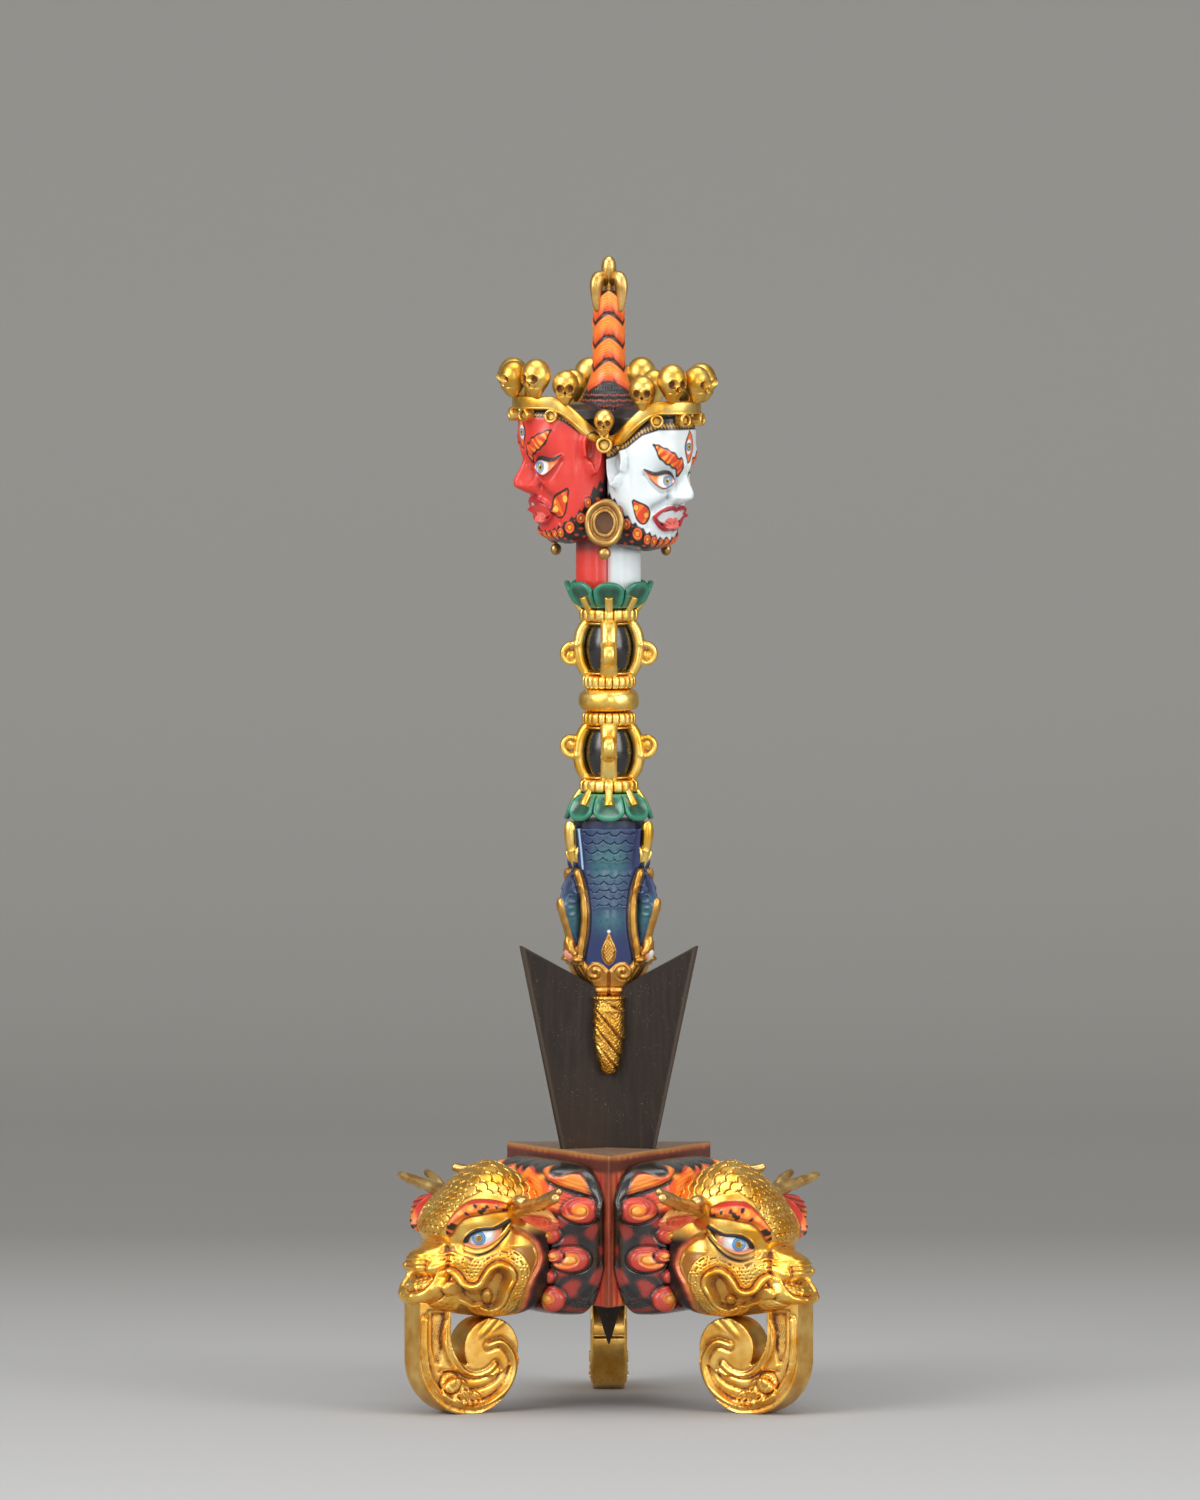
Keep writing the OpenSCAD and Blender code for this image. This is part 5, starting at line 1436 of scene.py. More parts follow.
# %% Heads of the stand
horn_gold = gilding("pale gold over buff ground", leaf="#b98d50", light="#e2c07e", ground="#7c5430",
                    dark="#4a3020", shine=0.36, wear=0.5, grime=0.05)
ear_colours = glossy("red and pink gloss paint", rough=0.36, coat_weight=0.3, bump_mm=0.06)
eye_enamel = glossy("eye gloss paint", rough=0.18, coat_weight=0.8, groove_dim=0.1, bump_mm=0.005)
LIFTS = {"left": 0.4, "right": -1.2, "back": 0.0}
for side, azimuth in SIDES.items():
    head = stand_head("stand_head_" + side + "_carved", LIFTS[side])
    to_frame(head, "stand", "stand_gilt", stand_gold, ["stand_head_" + side], azimuth, sharp=70)
    eye = stand_eye("stand_eyes_" + side + "_set", LIFTS[side])
    eyes = join("stand_eyes_" + side + "_set", [eye, mirrored(eye)])
    to_frame(eyes, "stand", "eye_paint", eye_enamel, ["stand_eyes_" + side], azimuth)
    horn = stand_horn("stand_horns_" + side + "_carved")
    horns = join("stand_horns_" + side + "_carved", [horn, mirrored(horn)])
    hollows(horns, 20, 0.5)
    to_frame(horns, "stand", "horn_paint", horn_gold, ["stand_horns_" + side], azimuth)
    near_sign = -1 if side == "right" else 1
    ear, other = stand_ear("ear", side == "right"), stand_ear("other_ear", side == "left")
    other.data.transform(Matrix.Scale(-1, 4, (0, 1, 0)))
    other.data.flip_normals()
    ears = join("stand_ears_" + side + "_carved", [ear, other])
    hollow = hollows(ears, 20, 0.5)
    p = points(ears)
    colour = ground_coat(p, "#d4583e")
    inner = step(p[:, 0] - 0.12 * (abs(p[:, 1]) - 15), 34.6, 35.6)
    far = (p[:, 1] * near_sign < 0) * (side != "back") * 1.0
    colour = coats(colour, [
        (0.9 * inner * (1 - far) * step(p[:, 2], 51.5, 52.5), "#d9a25a"),
        (0.9 * far, "#c03a28"),
        (far * step(abs(p[:, 1]), 33.5, 35.5), "#ef8a38"),
        (far * step(46.6 - p[:, 2], 0, 1.2), "#1c1210"),
        (far * 0.8 * step(sin((p[:, 2] + 0.25 * abs(p[:, 1])) * 5.2), 0.3, 0.8), "#3a1815"),
        (0.8 * step(hollow, 0.62, 0.9), "#3a1712")])
    brush(ears, colour)
    to_frame(ears, "stand", "ear_paint", ear_colours, ["stand_ears_" + side], azimuth)
    print(side, "head faces", len(head.data.polygons))

# %% [markdown]
# The block under the heads is a three-cornered baulk of wood, dark red-brown with a
# rubbed gold rim. We start from its solid, remesh it so that it has enough skin to
# paint, and round its arrises by rubbing, which is how handling wears the real one.

# %% Block
block = fuse("stand_block_worn", [own_mesh("stand_block", "block")], 0.45, 2)
hollow = hollows(block, 20, 0.3)
p = points(block)
corner = np.min([hypot(*(p[:, :2]
                            - 31 * np.array([math.cos(math.radians(a)), math.sin(math.radians(a))])).T)
                 for a in VALLEYS.values()], axis=0)
depth = BLOCK_TOP - p[:, 2]
streak = (0.5 + 0.5 * sin(p[:, 0] * 1.7 + 0.8 * sin(p[:, 2] * 0.21))
          * sin(p[:, 1] * 1.3 + 1 + 0.5 * sin(p[:, 2] * 0.33)))
colour = ground_coat(p, "#a44a30")
colour = coats(colour, [
    (0.8 * step(streak, 0.45, 0.9), "#cf7040"),
    (0.7 * step(corner, 3.5, 1.0), "#7a2c1c"),
    (edge(abs(corner - 4.2), 0.5, 0.4) * step(depth, 3, 6), "#b3202a"),
    (edge(abs(depth - 3.0), 1.6, 0.5), "#5b2a1c"),
    (0.85 * edge(depth, 0.9, 0.4), "#a47a3c"),
    (step(normals(block)[:, 2], 0.5, 0.9), "#866852")])
brush(block, coat(colour, step(normals(block)[:, 2], 0.5, 0.9) * step(streak, 0.3, 0.8) * 0.5, "#5a4030"))
block_paint = glossy("worn red-brown paint on wood", rough=0.45, coat_weight=0.12, groove_dim=0.5, bump_mm=0.08,
                     stroke_mm=0.9, stretch=(1, 1, 0.12))
to_frame(block, "stand", "block_paint", block_paint, ["stand_block"], sharp=60)
print("block:", len(block.data.polygons), "faces")

# %% [markdown]
# Behind each stand head its mane covers the side of the block: locks that stream away
# from the head and roll up into curls along the edge. The locks follow contour lines
# of a slanted wave, and each curl is a spiral in polar numbers round its own middle.

# %% Manes
SIDE_MID = 15.5
MANE_HALF = 24.85
CURL_LIST = [(20.1, 53.2, 3.4), (18.2, 40.4, 3.3), (14.2, 46.6, 2.4), (15.6, 41.2, 1.7),
             (13.6, 35.8, 2.1), (14.2, 30.2, 3.2)]


def mane(name):
    z_low, z_high = BLOCK_LOW - 3.1, BLOCK_TOP - 2.7

    def shape(turn, t):
        front = abs(turn) <= 90
        w = np.where(front, turn / 90, np.sign(turn) * (2 - abs(turn) / 90))
        a = abs(w)
        low = z_low + 14 * a ** 5
        high = z_high - 9 * a ** 6
        s = interp(t, [0, 0.012, 0.988, 1], [0, 0, 1, 1])
        z = low + (high - low) * s
        v = w * MANE_HALF
        b = clip((abs(v) - 14.5) / (MANE_HALF - 14.5), 0, 1)
        u = SIDE_MID + 1.3 + 9.2 * (0.5 + 0.5 * cos(pi * b ** 0.75))
        rim = clip(np.minimum(z - low, high - z) / 2.4, 0, 1)
        u = (SIDE_MID + 0.35 + (u - SIDE_MID - 0.35) * np.sqrt(clip(1 - (1 - rim) ** 2, 0, 1))
             * np.where(front, 1, 0))
        closed = interp(t, [0, 0.004, 0.996, 1], [0, 1, 1, 0])
        u, v = SIDE_MID + 0.35 + (u - SIDE_MID - 0.35) * closed, v * closed
        return np.stack([u, v, np.maximum(z, np.where(front, -99, BLOCK_LOW + 0.4))], -1)

    piece = clay(name, 480, 200, shape)
    p = points(piece)
    v, z = abs(p[:, 1]), p[:, 2]
    face = step(p[:, 0], SIDE_MID + 0.6, SIDE_MID + 1.2)
    top = BLOCK_TOP - 2.7 - 9 * (v / MANE_HALF) ** 6 - z
    # broad locks above, combed away from the head
    fan = (z - 50) * 0.72 + (v - 10) * 0.30 + 0.5 * sin(v * 0.35 + 1)
    lock = abs(sin(fan * 0.36))
    strand = 0.5 + 0.5 * sin(fan * 8.5)
    above = step(z + 0.12 * v, 53.6, 55.4)
    height = above * (1.3 * lock ** 0.6 + 0.12 * strand)
    colour = ground_coat(p, "#120e0d")
    flow = 0.5 + 0.5 * sin(v * 0.55 + z * 0.9 + sin(z * 0.7))
    ragged = 0.25 * sin(fan * 17) + 0.2 * sin(fan * 31 + v)
    fire = above * step(lock + 0.2 * ragged, 0.12, 0.3) * step(22.5 - v + 2 * ragged, 0, 2.5)
    colour = coats(colour, [
        (fire, "#c8402a"),
        (fire * step(17.5 - v + 4 * ragged + 2 * flow, 0, 3), "#e0562c"),
        (fire * step(flow + 0.5 * ragged, 0.62, 0.85), "#f08a3a")])
    smudge = (1 - above) * step(sin(v * 0.9 + 1.3 * sin(z * 0.45))
                                * sin(z * 0.55 + 0.8 * sin(v * 0.6)) + 0.5 * ragged, 0.0, 0.6)
    colour = coat(colour, 0.85 * smudge, "#a02a1a")
    for cv, cz, cr in CURL_LIST:
        d = hypot(v - cv, z - cz)
        theta = np.arctan2(z - cz, v - cv)
        on = edge(d, cr, 0.2)
        wind = 0.5 + 0.5 * cos(theta + 2 * pi * d / (cr * 0.72) + 0.6)
        swell = 1.7 * dome(d, cr * 1.02) + 0.4
        height = (height * (1 - on) + on
                  * (0.8 * swell - 0.5 * (1 - wind) ** 4 * step(d, cr * 0.14, cr * 0.3)))
        height = height - 0.3 * bump(d - cr - 0.3, 0, 0.3)
        colour = coats(colour, [
            (edge(d, cr + 0.25, 0.2), "#120e0d"),
            (on, "#c43a26")])
        arm = abs(np.mod(theta + 2.2 * d / cr + 0.6 + pi, 2 * pi) - pi)
        comma = np.maximum(edge(d, cr * 0.5, 0.15), on * edge(arm, 1.1 * (1.1 - d / cr), 0.15))
        colour = coats(colour, [
            (comma, "#f08a32"),
            (edge(d, cr * 0.26, 0.15), "#f8b24a")])
    band = edge(top, 1.8 + 0.8 * sin(v * 0.9), 0.5)
    height = height * (1 - band) + band * 0.5
    colour = coat(colour, band, "#141010")
    tongue = bump(np.mod(v + 0.8 * (top - 3), 7.5) - 3.7, 0, 1.5) * bump(top, 3.4, 0.8)
    colour = coat(colour, 1.2 * tongue * step(22 - v, 0, 2), "#f2a03c")
    relief(piece, lambda _: face * height)
    hollow = hollows(piece, 26, 0.45)
    # painted glints: pale grey streaks on the ridges of the black locks
    glint = (1 - fire) * step(0.42 - hollow, 0, 0.25) * step(sin(fan * 23 + v * 3), 0.3, 0.9)
    colour = coat(colour, 0.35 * glint, "#77786e")
    brush(piece, coat(colour, 0.85 * step(hollow, 0.68, 0.9), "#100c0b"))
    return piece


hair_gloss = glossy("black and red gloss paint", rough=0.3, coat_weight=0.5, groove_dim=0.4, bump_mm=0.04)
first = mane("mane_pattern")
print("mane:", len(first.data.polygons), "faces")
three_of(first, "mane_", "_carved", SIDES, "stand", "mane_paint", hair_gloss, sharp=80)

# %% [markdown]
# Each head's trunk drops from the lip, curls under the stand as its foot and ends in a
# bud. It is a thick slab, so all its carving is on the two flat sides: raised rims, a
# sunk channel with a speckled ground, and a wave leaf low down. The solid already has
# the outline, and the relief is a picture in the slab's own plane.

# %% Trunk feet
RIM_LINE = spline([(57.2, 25), (57.3, 18), (56.2, 11.5), (52.5, 5.8), (46.5, 2.6), (39.5, 2.4),
                   (33.6, 5.6), (31.0, 10.2), (31.4, 14.8), (34.6, 18.2), (38.4, 17.6)], 36)
HOLE_LINE = spline([(49.0, 27.5), (49.4, 22), (48.8, 16.5), (46.6, 12.0), (43.0, 10.0), (39.0, 10.6),
                    (36.4, 12.6)], 24)
S_LINE = spline([(52.6, 11.6), (48.6, 10.6), (47.0, 8.2), (42.8, 6.4), (37.6, 7.4), (34.6, 10.2),
                 (35.8, 13.0)], 24)
CHANNEL = np.array([(55.2, 27), (50.6, 27), (51.0, 21), (51.6, 16), (52.2, 13), (54.0, 13.6), (55.2, 18)])
SCROLL = (49.6, 8.4)


def trunk_foot(name):
    node = "trunk_foot_back"
    foot = own_mesh(node, name)
    foot.data.transform(Matrix.Rotation(math.radians(-BACK), 4, "Z"))
    foot = fuse(name, [foot], 0.3, 3)
    p = points(foot)
    u, v, z = p.T
    flat = step(abs(normals(foot)[:, 1]), 0.75, 0.95)
    q = np.stack([u, z], -1)
    rim, _ = to_line(q, RIM_LINE)
    hole, _ = to_line(q, HOLE_LINE)
    body, _ = to_line(q, S_LINE)
    channel = in_outline(q, CHANNEL)
    height = (0.55 * bump(rim, 0, 0.7) - 0.45 * bump(rim, 1.3, 0.35) + 0.35 * bump(hole, 0, 0.6)
              - 0.3 * bump(hole, 1.1, 0.3) - 0.5 * bump(body, 0, 0.4))
    height = height - 0.7 * step(channel, 0.0, 0.7)
    d = hypot(u - SCROLL[0], z - SCROLL[1])
    scroll = edge(d, 2.6, 0.25)
    height = (height * (1 - scroll)
              + scroll * (0.9 - 0.3 * abs(sin((u - z) * 2.6)) * step(d, 0.6, 1.0))
              - 0.5 * bump(d, 2.9, 0.3))
    leaf = edge(hypot((u - 44.6) / 4.4, (z - 4.2 - 0.12 * (u - 44)) / 1.9), 1.0, 0.15)
    height = height + leaf * (0.5 + 0.3 * sin((u - 0.8 * z) * 3.4))
    bud = step(z - 0.45 * (40 - u), 19.5, 21) * step(42 - u, 0, 1.5)
    height = height + bud * (0.35 * abs(sin((u + z) * 0.9)) - 0.1)
    relief(foot, lambda _: flat * height)
    hollows(foot, 24, 0.45)
    speck = step(sin(u * 7.3 + z * 3.1) * sin(z * 6.7 - u * 2.9) + 0.5 * sin(u * 17 + z * 11),
                 0.1, 0.5)
    colour = ground_coat(p, "#2a2616")
    patch = step(channel, 0.5, 1.0) * flat * step(sin(z * 0.8 + u), -0.9, 0.2)
    gold = 1 - 0.85 * patch * speck
    worn = step(sin(u * 2.9 + v * 1.7) * sin(z * 2.3 + v * 2.1 + 1) * sin(u * 1.1 - z * 1.9),
                0.5, 0.75) * step(z, 8, 2)
    maroon = edge(hypot((z - 20.5) / 3.4, (u - 31.5) / 3.2), 1.0, 0.15)
    brush(foot, coat(colour, maroon, "#4a1418"))
    gilt_mask(foot, gold * (1 - 0.6 * worn))
    return foot


foot_gold = part_gilt("gold leaf, worn at the foot", leaf="#e2a03a", light="#fbd174", ground="#9a5414",
                      dark="#4a280e", shine=0.35, wear=0.5)
first = trunk_foot("trunk_pattern")
print("trunk foot:", len(first.data.polygons), "faces")
three_of(first, "trunk_foot_", "_carved", SIDES, "stand", "stand_gilt", foot_gold, sharp=60)

# %% [markdown]
# The blade is one dark, oiled hardwood star with three wings. Its solid is already
# exact, so only the arrises are broken with a small bevel. Faint streaks run up the
# grain and dust lies in loose specks. Low down the left side is painted lighter and
# warmer as painted light, and the outer edges are painted lighter, partly as wear from
# handling and partly as a painted highlight.

# %% Blade
WING_Z, WING_R, WING_FLARE = 67.6, 14.3, 0.2285
WING_WIDE, SHOULDER_DROP, SHOULDER_Z = 26.5, 13.4, 107.6
blade = own_mesh("blade", "blade_planed")
apply(blade, "BEVEL", width=0.28, segments=2, limit_method="ANGLE", angle_limit=math.radians(25))
dark_wood, tree, shader = new_material("dark oiled hardwood")
at = add(tree, "TexCoord", "Object")
xyz = add(tree, "SeparateXYZ", None, {"Vector": at}).outputs
streaks = add(tree, "Mapping", "Vector", {"Vector": at, "Scale": (1, 1, 0.07)})
streaks = add(tree, "TexNoise", "Fac", grain(streaks, 1.1, 5, 0.6))
wood = add(tree, "ValToRGB", "Color", {"Fac": streaks},
           [(0.25, "#18100b"), (0.5, "#21170f"), (0.75, "#2e2117")])
# painted warm light on the left side, low on the blade
painted_warm_light = add(tree, "Math", "Value",
           {0: add(tree, "MapRange", "Result", spread(xyz["Z"], 0.092, 0.068, 0, 0.6)),
            1: add(tree, "MapRange", "Result", spread(xyz["X"], 0.004, -0.004))}, operation="MULTIPLY")
wood = add(tree, "Mix", "Result", {"Factor": painted_warm_light, "A": wood, "B": tone("#38271a")}, data_type="RGBA")
# the wings' outer edges and shoulders: lighter where hands have worn the wood, and a painted highlight
# where light catches the bevel
radius = add(tree, "VectorMath", "Value",
             {0: add(tree, "CombineXYZ", "Vector", {"X": xyz["X"], "Y": xyz["Y"]})}, operation="LENGTH")
reach = add(tree, "Math", "Value", {0: xyz["Z"], 1: WING_FLARE}, operation="MULTIPLY")
reach = add(tree, "Math", "Value", {0: reach, 1: (WING_R - WING_FLARE * WING_Z) * MM}, operation="ADD")
outer = add(tree, "Math", "Value", {0: radius, 1: reach}, operation="SUBTRACT")
rise = add(tree, "Math", "Value", {0: radius, 1: SHOULDER_DROP / WING_WIDE}, operation="MULTIPLY")
rise = add(tree, "Math", "Value", {0: rise, 1: SHOULDER_Z * MM}, operation="ADD")
shoulder = add(tree, "Math", "Value", {0: xyz["Z"], 1: rise}, operation="SUBTRACT")
wear_and_highlight = add(tree, "Math", "Value",
             {0: add(tree, "MapRange", "Result", spread(outer, -0.0009, -0.0003, 0, 0.55)),
              1: add(tree, "MapRange", "Result", spread(shoulder, -0.0008, -0.0002, 0, 0.55))},
             operation="MAXIMUM")
wood = add(tree, "Mix", "Result", {"Factor": wear_and_highlight, "A": wood, "B": tone("#54483c")}, data_type="RGBA")
# specks of dust in loose patches
specks = add(tree, "TexNoise", "Fac", grain(at, 0.35, 2))
specks = add(tree, "MapRange", "Result", spread(specks, 0.66, 0.74))
loose = add(tree, "TexNoise", "Fac", grain(at, 5, 3))
loose = add(tree, "MapRange", "Result", spread(loose, 0.45, 0.6))
dust = add(tree, "Math", "Value", {0: specks, 1: loose}, operation="MULTIPLY")
dust = add(tree, "Math", "Value", {0: dust, 1: 0.5}, operation="MULTIPLY")
wood = add(tree, "Mix", "Result", {"Factor": dust, "A": wood, "B": tone("#a39a8c")}, data_type="RGBA")
dull = add(tree, "TexNoise", "Fac", grain(at, 3))
feed(tree, shader, {
    "Base Color": wood,
    "Roughness": add(tree, "MapRange", "Result", spread(dull, 0.3, 0.7, 0.42, 0.56)),
    "Specular IOR Level": 0.32,
    "Normal": add(tree, "Bump", "Normal", {"Height": streaks, "Strength": 1.0, "Distance": 0.05 * MM})})
to_frame(blade, "phurba", "blade_wood", dark_wood, ["blade"], sharp=25)
print("blade:", len(blade.data.polygons), "faces,", dark_wood.name)

# %% [markdown]
# A gold trunk lies in each valley of the blade. It was modelled in paste and gilded:
# the skin is stippled all over and three grooves wind round it.

# %% Blade trunks
old_gold = part_gilt("bronze-gold paint and blue enamel", leaf="#b07b2e", light="#d2a052",
                     ground="#6a3a12", dark="#2c1a0a", shine=0.42, wear=0.4, bump_mm=0.03)
trunk_gold = gilding("stippled gold on paste", leaf="#b9842f", light="#dcae55", ground="#76440f",
                     dark="#2c1a0a", shine=0.4, wear=0.3, bump_mm=0.05)


def valley(z):
    """How far the floor of a blade valley lies from the axis."""
    return 4.5 * ((WING_R + WING_FLARE * (z - WING_Z)) / WING_WIDE) ** 0.7


def blade_trunk(name):
    def shape(turn, t):
        run = smooth([[TRUNK_LOW, 0.1, 0.4], [TRUNK_LOW + 0.5, 1.5, 1.2], [TRUNK_LOW + 1.8, 2.2, 2.0],
                      [TRUNK_LOW + 4, 2.8, 2.7], [TRUNK_LOW + 7.5, 3.6, 3.4],
                      [TRUNK_LOW + 11, 4.0, 3.7], [TRUNK_LOW + 15, 3.95, 3.6],
                      [TRUNK_TOP - 1.6, 3.75, 3.2], [TRUNK_TOP, 3.8, 3.0], [TRUNK_TOP, 0, 0]], t)
        c, s = cos_sin(turn)
        u = valley(run[:, 0]) + 1.9 + run[:, 2] * c
        v = run[:, 1] * s
        return np.stack([u, v, run[:, 0]], -1)
    trunk = clay(name, 140, 200, shape)
    p = points(trunk)
    u, v, z = p.T
    wind = v * 1.15 + (z - 98.3)
    groove = sum(bump(wind - c, 0, 0.42) for c in (-7.4, -3.2, 1.6)) * step(104.0 - z, 0, 1.2)
    ledge = (sum(0.5 * step(wind - c, 0, 0.8) * step(c + 2.4 - wind, 0, 1.6) for c in (-7.4, -3.2, 1.6))
             * step(104.0 - z, 0, 1.2))
    stipple = clip(sin(v * 6.1 + 1.5 * sin(z * 2.7)) * sin(z * 5.7 + 1.4 * sin(v * 3.3)),
                      -0.6, 0.6)
    band = bump(z, 103.6, 0.5) + bump(z, 106.9, 0.35)
    notch = bump(v, 1.6, 1.5) * bump(z - 105.2 + 0.35 * v, 0, 0.4)
    relief(trunk, lambda _: 0.5 * ledge - 0.55 * groove + 0.14 * stipple + 0.3 * band - 0.8 * notch)
    p = points(trunk)
    p[:, 0] = np.maximum(p[:, 0], valley(p[:, 2]) + 0.381 * abs(p[:, 1]) + 0.12)
    place(trunk, p)
    hollows(trunk, 24, 0.3)
    return trunk


first = blade_trunk("blade_trunk_pattern")
print("blade trunk:", len(first.data.polygons), "faces")
three_of(first, "blade_trunk_", "_wound", VALLEYS, "phurba", "trunk_gilt", trunk_gold, sharp=80)

# %% [markdown]
# Three makara heads look down over the blade. Their faces are scaled panels, and
# where two meet, their ears stand out as round lobes edged with gold. The outline of
# the group is one radius for every turn and height, taken from rows of places
# measured on the photo, so the whole group is a single turned skin with three faces.

# %% Makara outline
MAK = MAKARA_LOW
# height, depth of the panel, its half width, corner radius, place across of the raised rim
MAK_ROWS = [(0.0, 5.6, 2.6, 4.6, 3.0), (2.4, 6.4, 3.6, 5.4, 4.2), (5.4, 7.8, 4.9, 7.4, 5.8),
            (8.0, 8.5, 5.5, 9.3, 7.2), (10.4, 8.7, 5.6, 10.7, 7.4),
            (13, 8.9, 5.3, 11.6, 7.0), (16, 9.1, 4.9, 12.6, 6.4), (20, 9.2, 4.7, 14.0, 6.1),
            (23.6, 9.0, 4.9, 15.0, 6.3), (27, 8.9, 5.3, 14.5, 6.9),
            (30, 8.8, 5.7, 13.2, 7.7), (32.2, 8.8, 6.0, 11.0, 8.1), (34.6, 8.9, 6.2, 9.6, 8.2),
            (38, 9.2, 6.5, 9.6, 8.2), (45.2, 9.5, 7.3, 10.2, 8.6)]


def makara_radius(turn, z):
    """Distance of the skin from the dagger's axis; turn is measured from a face's middle."""
    a = np.radians(np.minimum(abs(turn), 60.0))
    stops = np.radians(np.linspace(0, 60, 61))
    table = []
    for _, depth, half, corner, rim in MAK_ROWS:
        line = np.array([(depth + 0.25, 0), (depth + 0.1, half * 0.6), (depth - 0.4, half),
                         (depth - 1.0, (half + rim) / 2), (depth - 0.9, rim), (depth - 2.4, rim + 1.3),
                         (corner * 0.92 * math.cos(math.radians(50)),
                          corner * 0.92 * math.sin(math.radians(50))), (corner / 2, corner * 0.866)])
        turns = np.arctan2(line[:, 1], line[:, 0])
        order = np.argsort(turns)
        table.append(interp(stops, turns[order], hypot(*line.T)[order]))
    table = np.array(table)
    table = 0.25 * np.roll(table, 1, 1) + 0.5 * table + 0.25 * np.roll(table, -1, 1)
    table[:, 0], table[:, -1] = table[:, 1], table[:, -2]
    rows = interp(z - MAK, [row[0] for row in MAK_ROWS], np.arange(len(MAK_ROWS))) / (len(MAK_ROWS) - 1)
    fine = smooth(table, np.linspace(0, 1, 241))
    y, x = rows * 240, a / stops[-1] * 60
    i, j = np.minimum(y.astype(int), 239), np.minimum(x.astype(int), 59)
    f, g = y - i, x - j
    return (fine[i, j] * (1 - f) * (1 - g) + fine[i + 1, j] * f * (1 - g) + fine[i, j + 1] * (1 - f) * g
            + fine[i + 1, j + 1] * f * g)


CRESCENT = spline([(7.5, 9.6), (7.1, 12), (6.4, 15.5), (6.1, 20), (6.3, 24), (6.9, 27.6), (7.8, 30.6),
                   (8.3, 31.8)], 16)
EAR_RIM = spline([(7.6, 8.4), (8.9, 11.4), (10.0, 14.0), (11.2, 18.0), (12.2, 22.0), (12.7, 24.2)], 10)
LEAF_FACE = np.array([(0, 16.4), (0.7, 14.6), (1.5, 12.9), (1.95, 11.5), (1.7, 9.6), (1.0, 8.2), (0, 7.6)])
LEAF_FACE = np.vstack([LEAF_FACE, LEAF_FACE[::-1] * (-1, 1)])
COLLAR = [(0, 6.2), (1.4, 7.6), (2.6, 8.3), (4.2, 8.4), (5.4, 7.4), (5.9, 7.9), (7.0, 9.6), (9.4, 14),
          (14, 20), (14, -1), (0, -1)]
COLLAR_CURL = (3.5, 6.1)
print("makara outline from", len(MAK_ROWS), "rows, lowest at", MAK)

# %% [markdown]
# The carved group is drawn from that radius and then worked over: scales on the
# panels, rolled rims along the ears, a leaf on the brow and a scrolled collar below.
# Gold is laid on the raised lines only, and the rest is painted blue and teal.

# %% Makara group
def makara_shape(turn, t):
    z = MAK + (MAKARA_TOP - MAK) * interp(t, [0, 0.004, 0.996, 1], [0, 0.0, 1, 1])
    face = off_nearest(turn, 270, 120)
    r = makara_radius(face, z) * interp(t, [0, 0.004, 0.996, 1], [0, 1, 1, 0])
    return polar(r, turn, z)


group = clay("makara_group", 540, 260, makara_shape)
p = points(group)
face = off_nearest(turn_of(p), 270, 120)
r = hypot(p[:, 0], p[:, 1])
v, z = abs(r * sin(np.radians(face))), p[:, 2] - MAK
signed = r * sin(np.radians(face))
q = np.stack([v, z], -1)
inside = step(r, 1.5, 3.0)
crescent, _ = to_line(q, CRESCENT)
ear_rim, _ = to_line(q, EAR_RIM)
collar = in_outline(q, COLLAR)
leaf = in_outline(np.stack([signed, z], -1), LEAF_FACE)
half = interp(z, [row[0] for row in MAK_ROWS], [row[2] for row in MAK_ROWS])
panel = step(half - v, -0.2, 0.4)
h1, g1 = scales(signed * (1 + 0.05 * sin(z)), z + 0.25 * sin(signed * 1.1), 3.0, 2.3)
h2, g2 = scales(signed * (1 + 0.05 * sin(z)), z + 0.25 * sin(signed * 1.3), 2.5, 1.9)
upper = panel * step(z, 34.0, 35.4)
lower = panel * step(z, 22.0, 23.4) * step(32.6 - z, 0, 1.5)
height = upper * (0.9 * h1 - 0.5 * g1) + lower * (0.75 * h2 - 0.4 * g2)
height = height + 1.0 * dome(crescent, 0.95) - 0.35 * bump(crescent, 1.25, 0.3)
height = height + (0.6 + 0.9 * bump(z, 11, 3)) * dome(ear_rim, 0.9)
height = height + 0.7 * step(collar, -0.1, 0.7) * (z < 17)
d = hypot(v - COLLAR_CURL[0], z - COLLAR_CURL[1])
theta = np.arctan2(z - COLLAR_CURL[1], v - COLLAR_CURL[0])
wind = 0.5 + 0.5 * cos(theta - 2 * pi * d / 1.55 + 0.6)
height = height + edge(d, 2.3, 0.25) * (0.55 * wind - 0.25)
height = (height + 0.75 * step(leaf, 0.0, 0.9) + 0.10 * step(leaf, 0.2, 0.5) * sin(signed * 7)
          * sin(z * 6.3))
for ev, ez in [(9.5, 24.9), (9.8, 21.6), (8.4, 27.4)]:
    d = hypot(v - ev, z - ez)
    height = height + 0.22 * edge(abs(d - 1.05), 0.28, 0.2)
height = height + 0.25 * bump(z, 1.0, 0.35) - 0.3 * bump(z, 1.9, 0.3)
relief(group, lambda _: inside * height)
hollow = hollows(group, 26, 0.4)
print("makara carving:", len(p), "points")
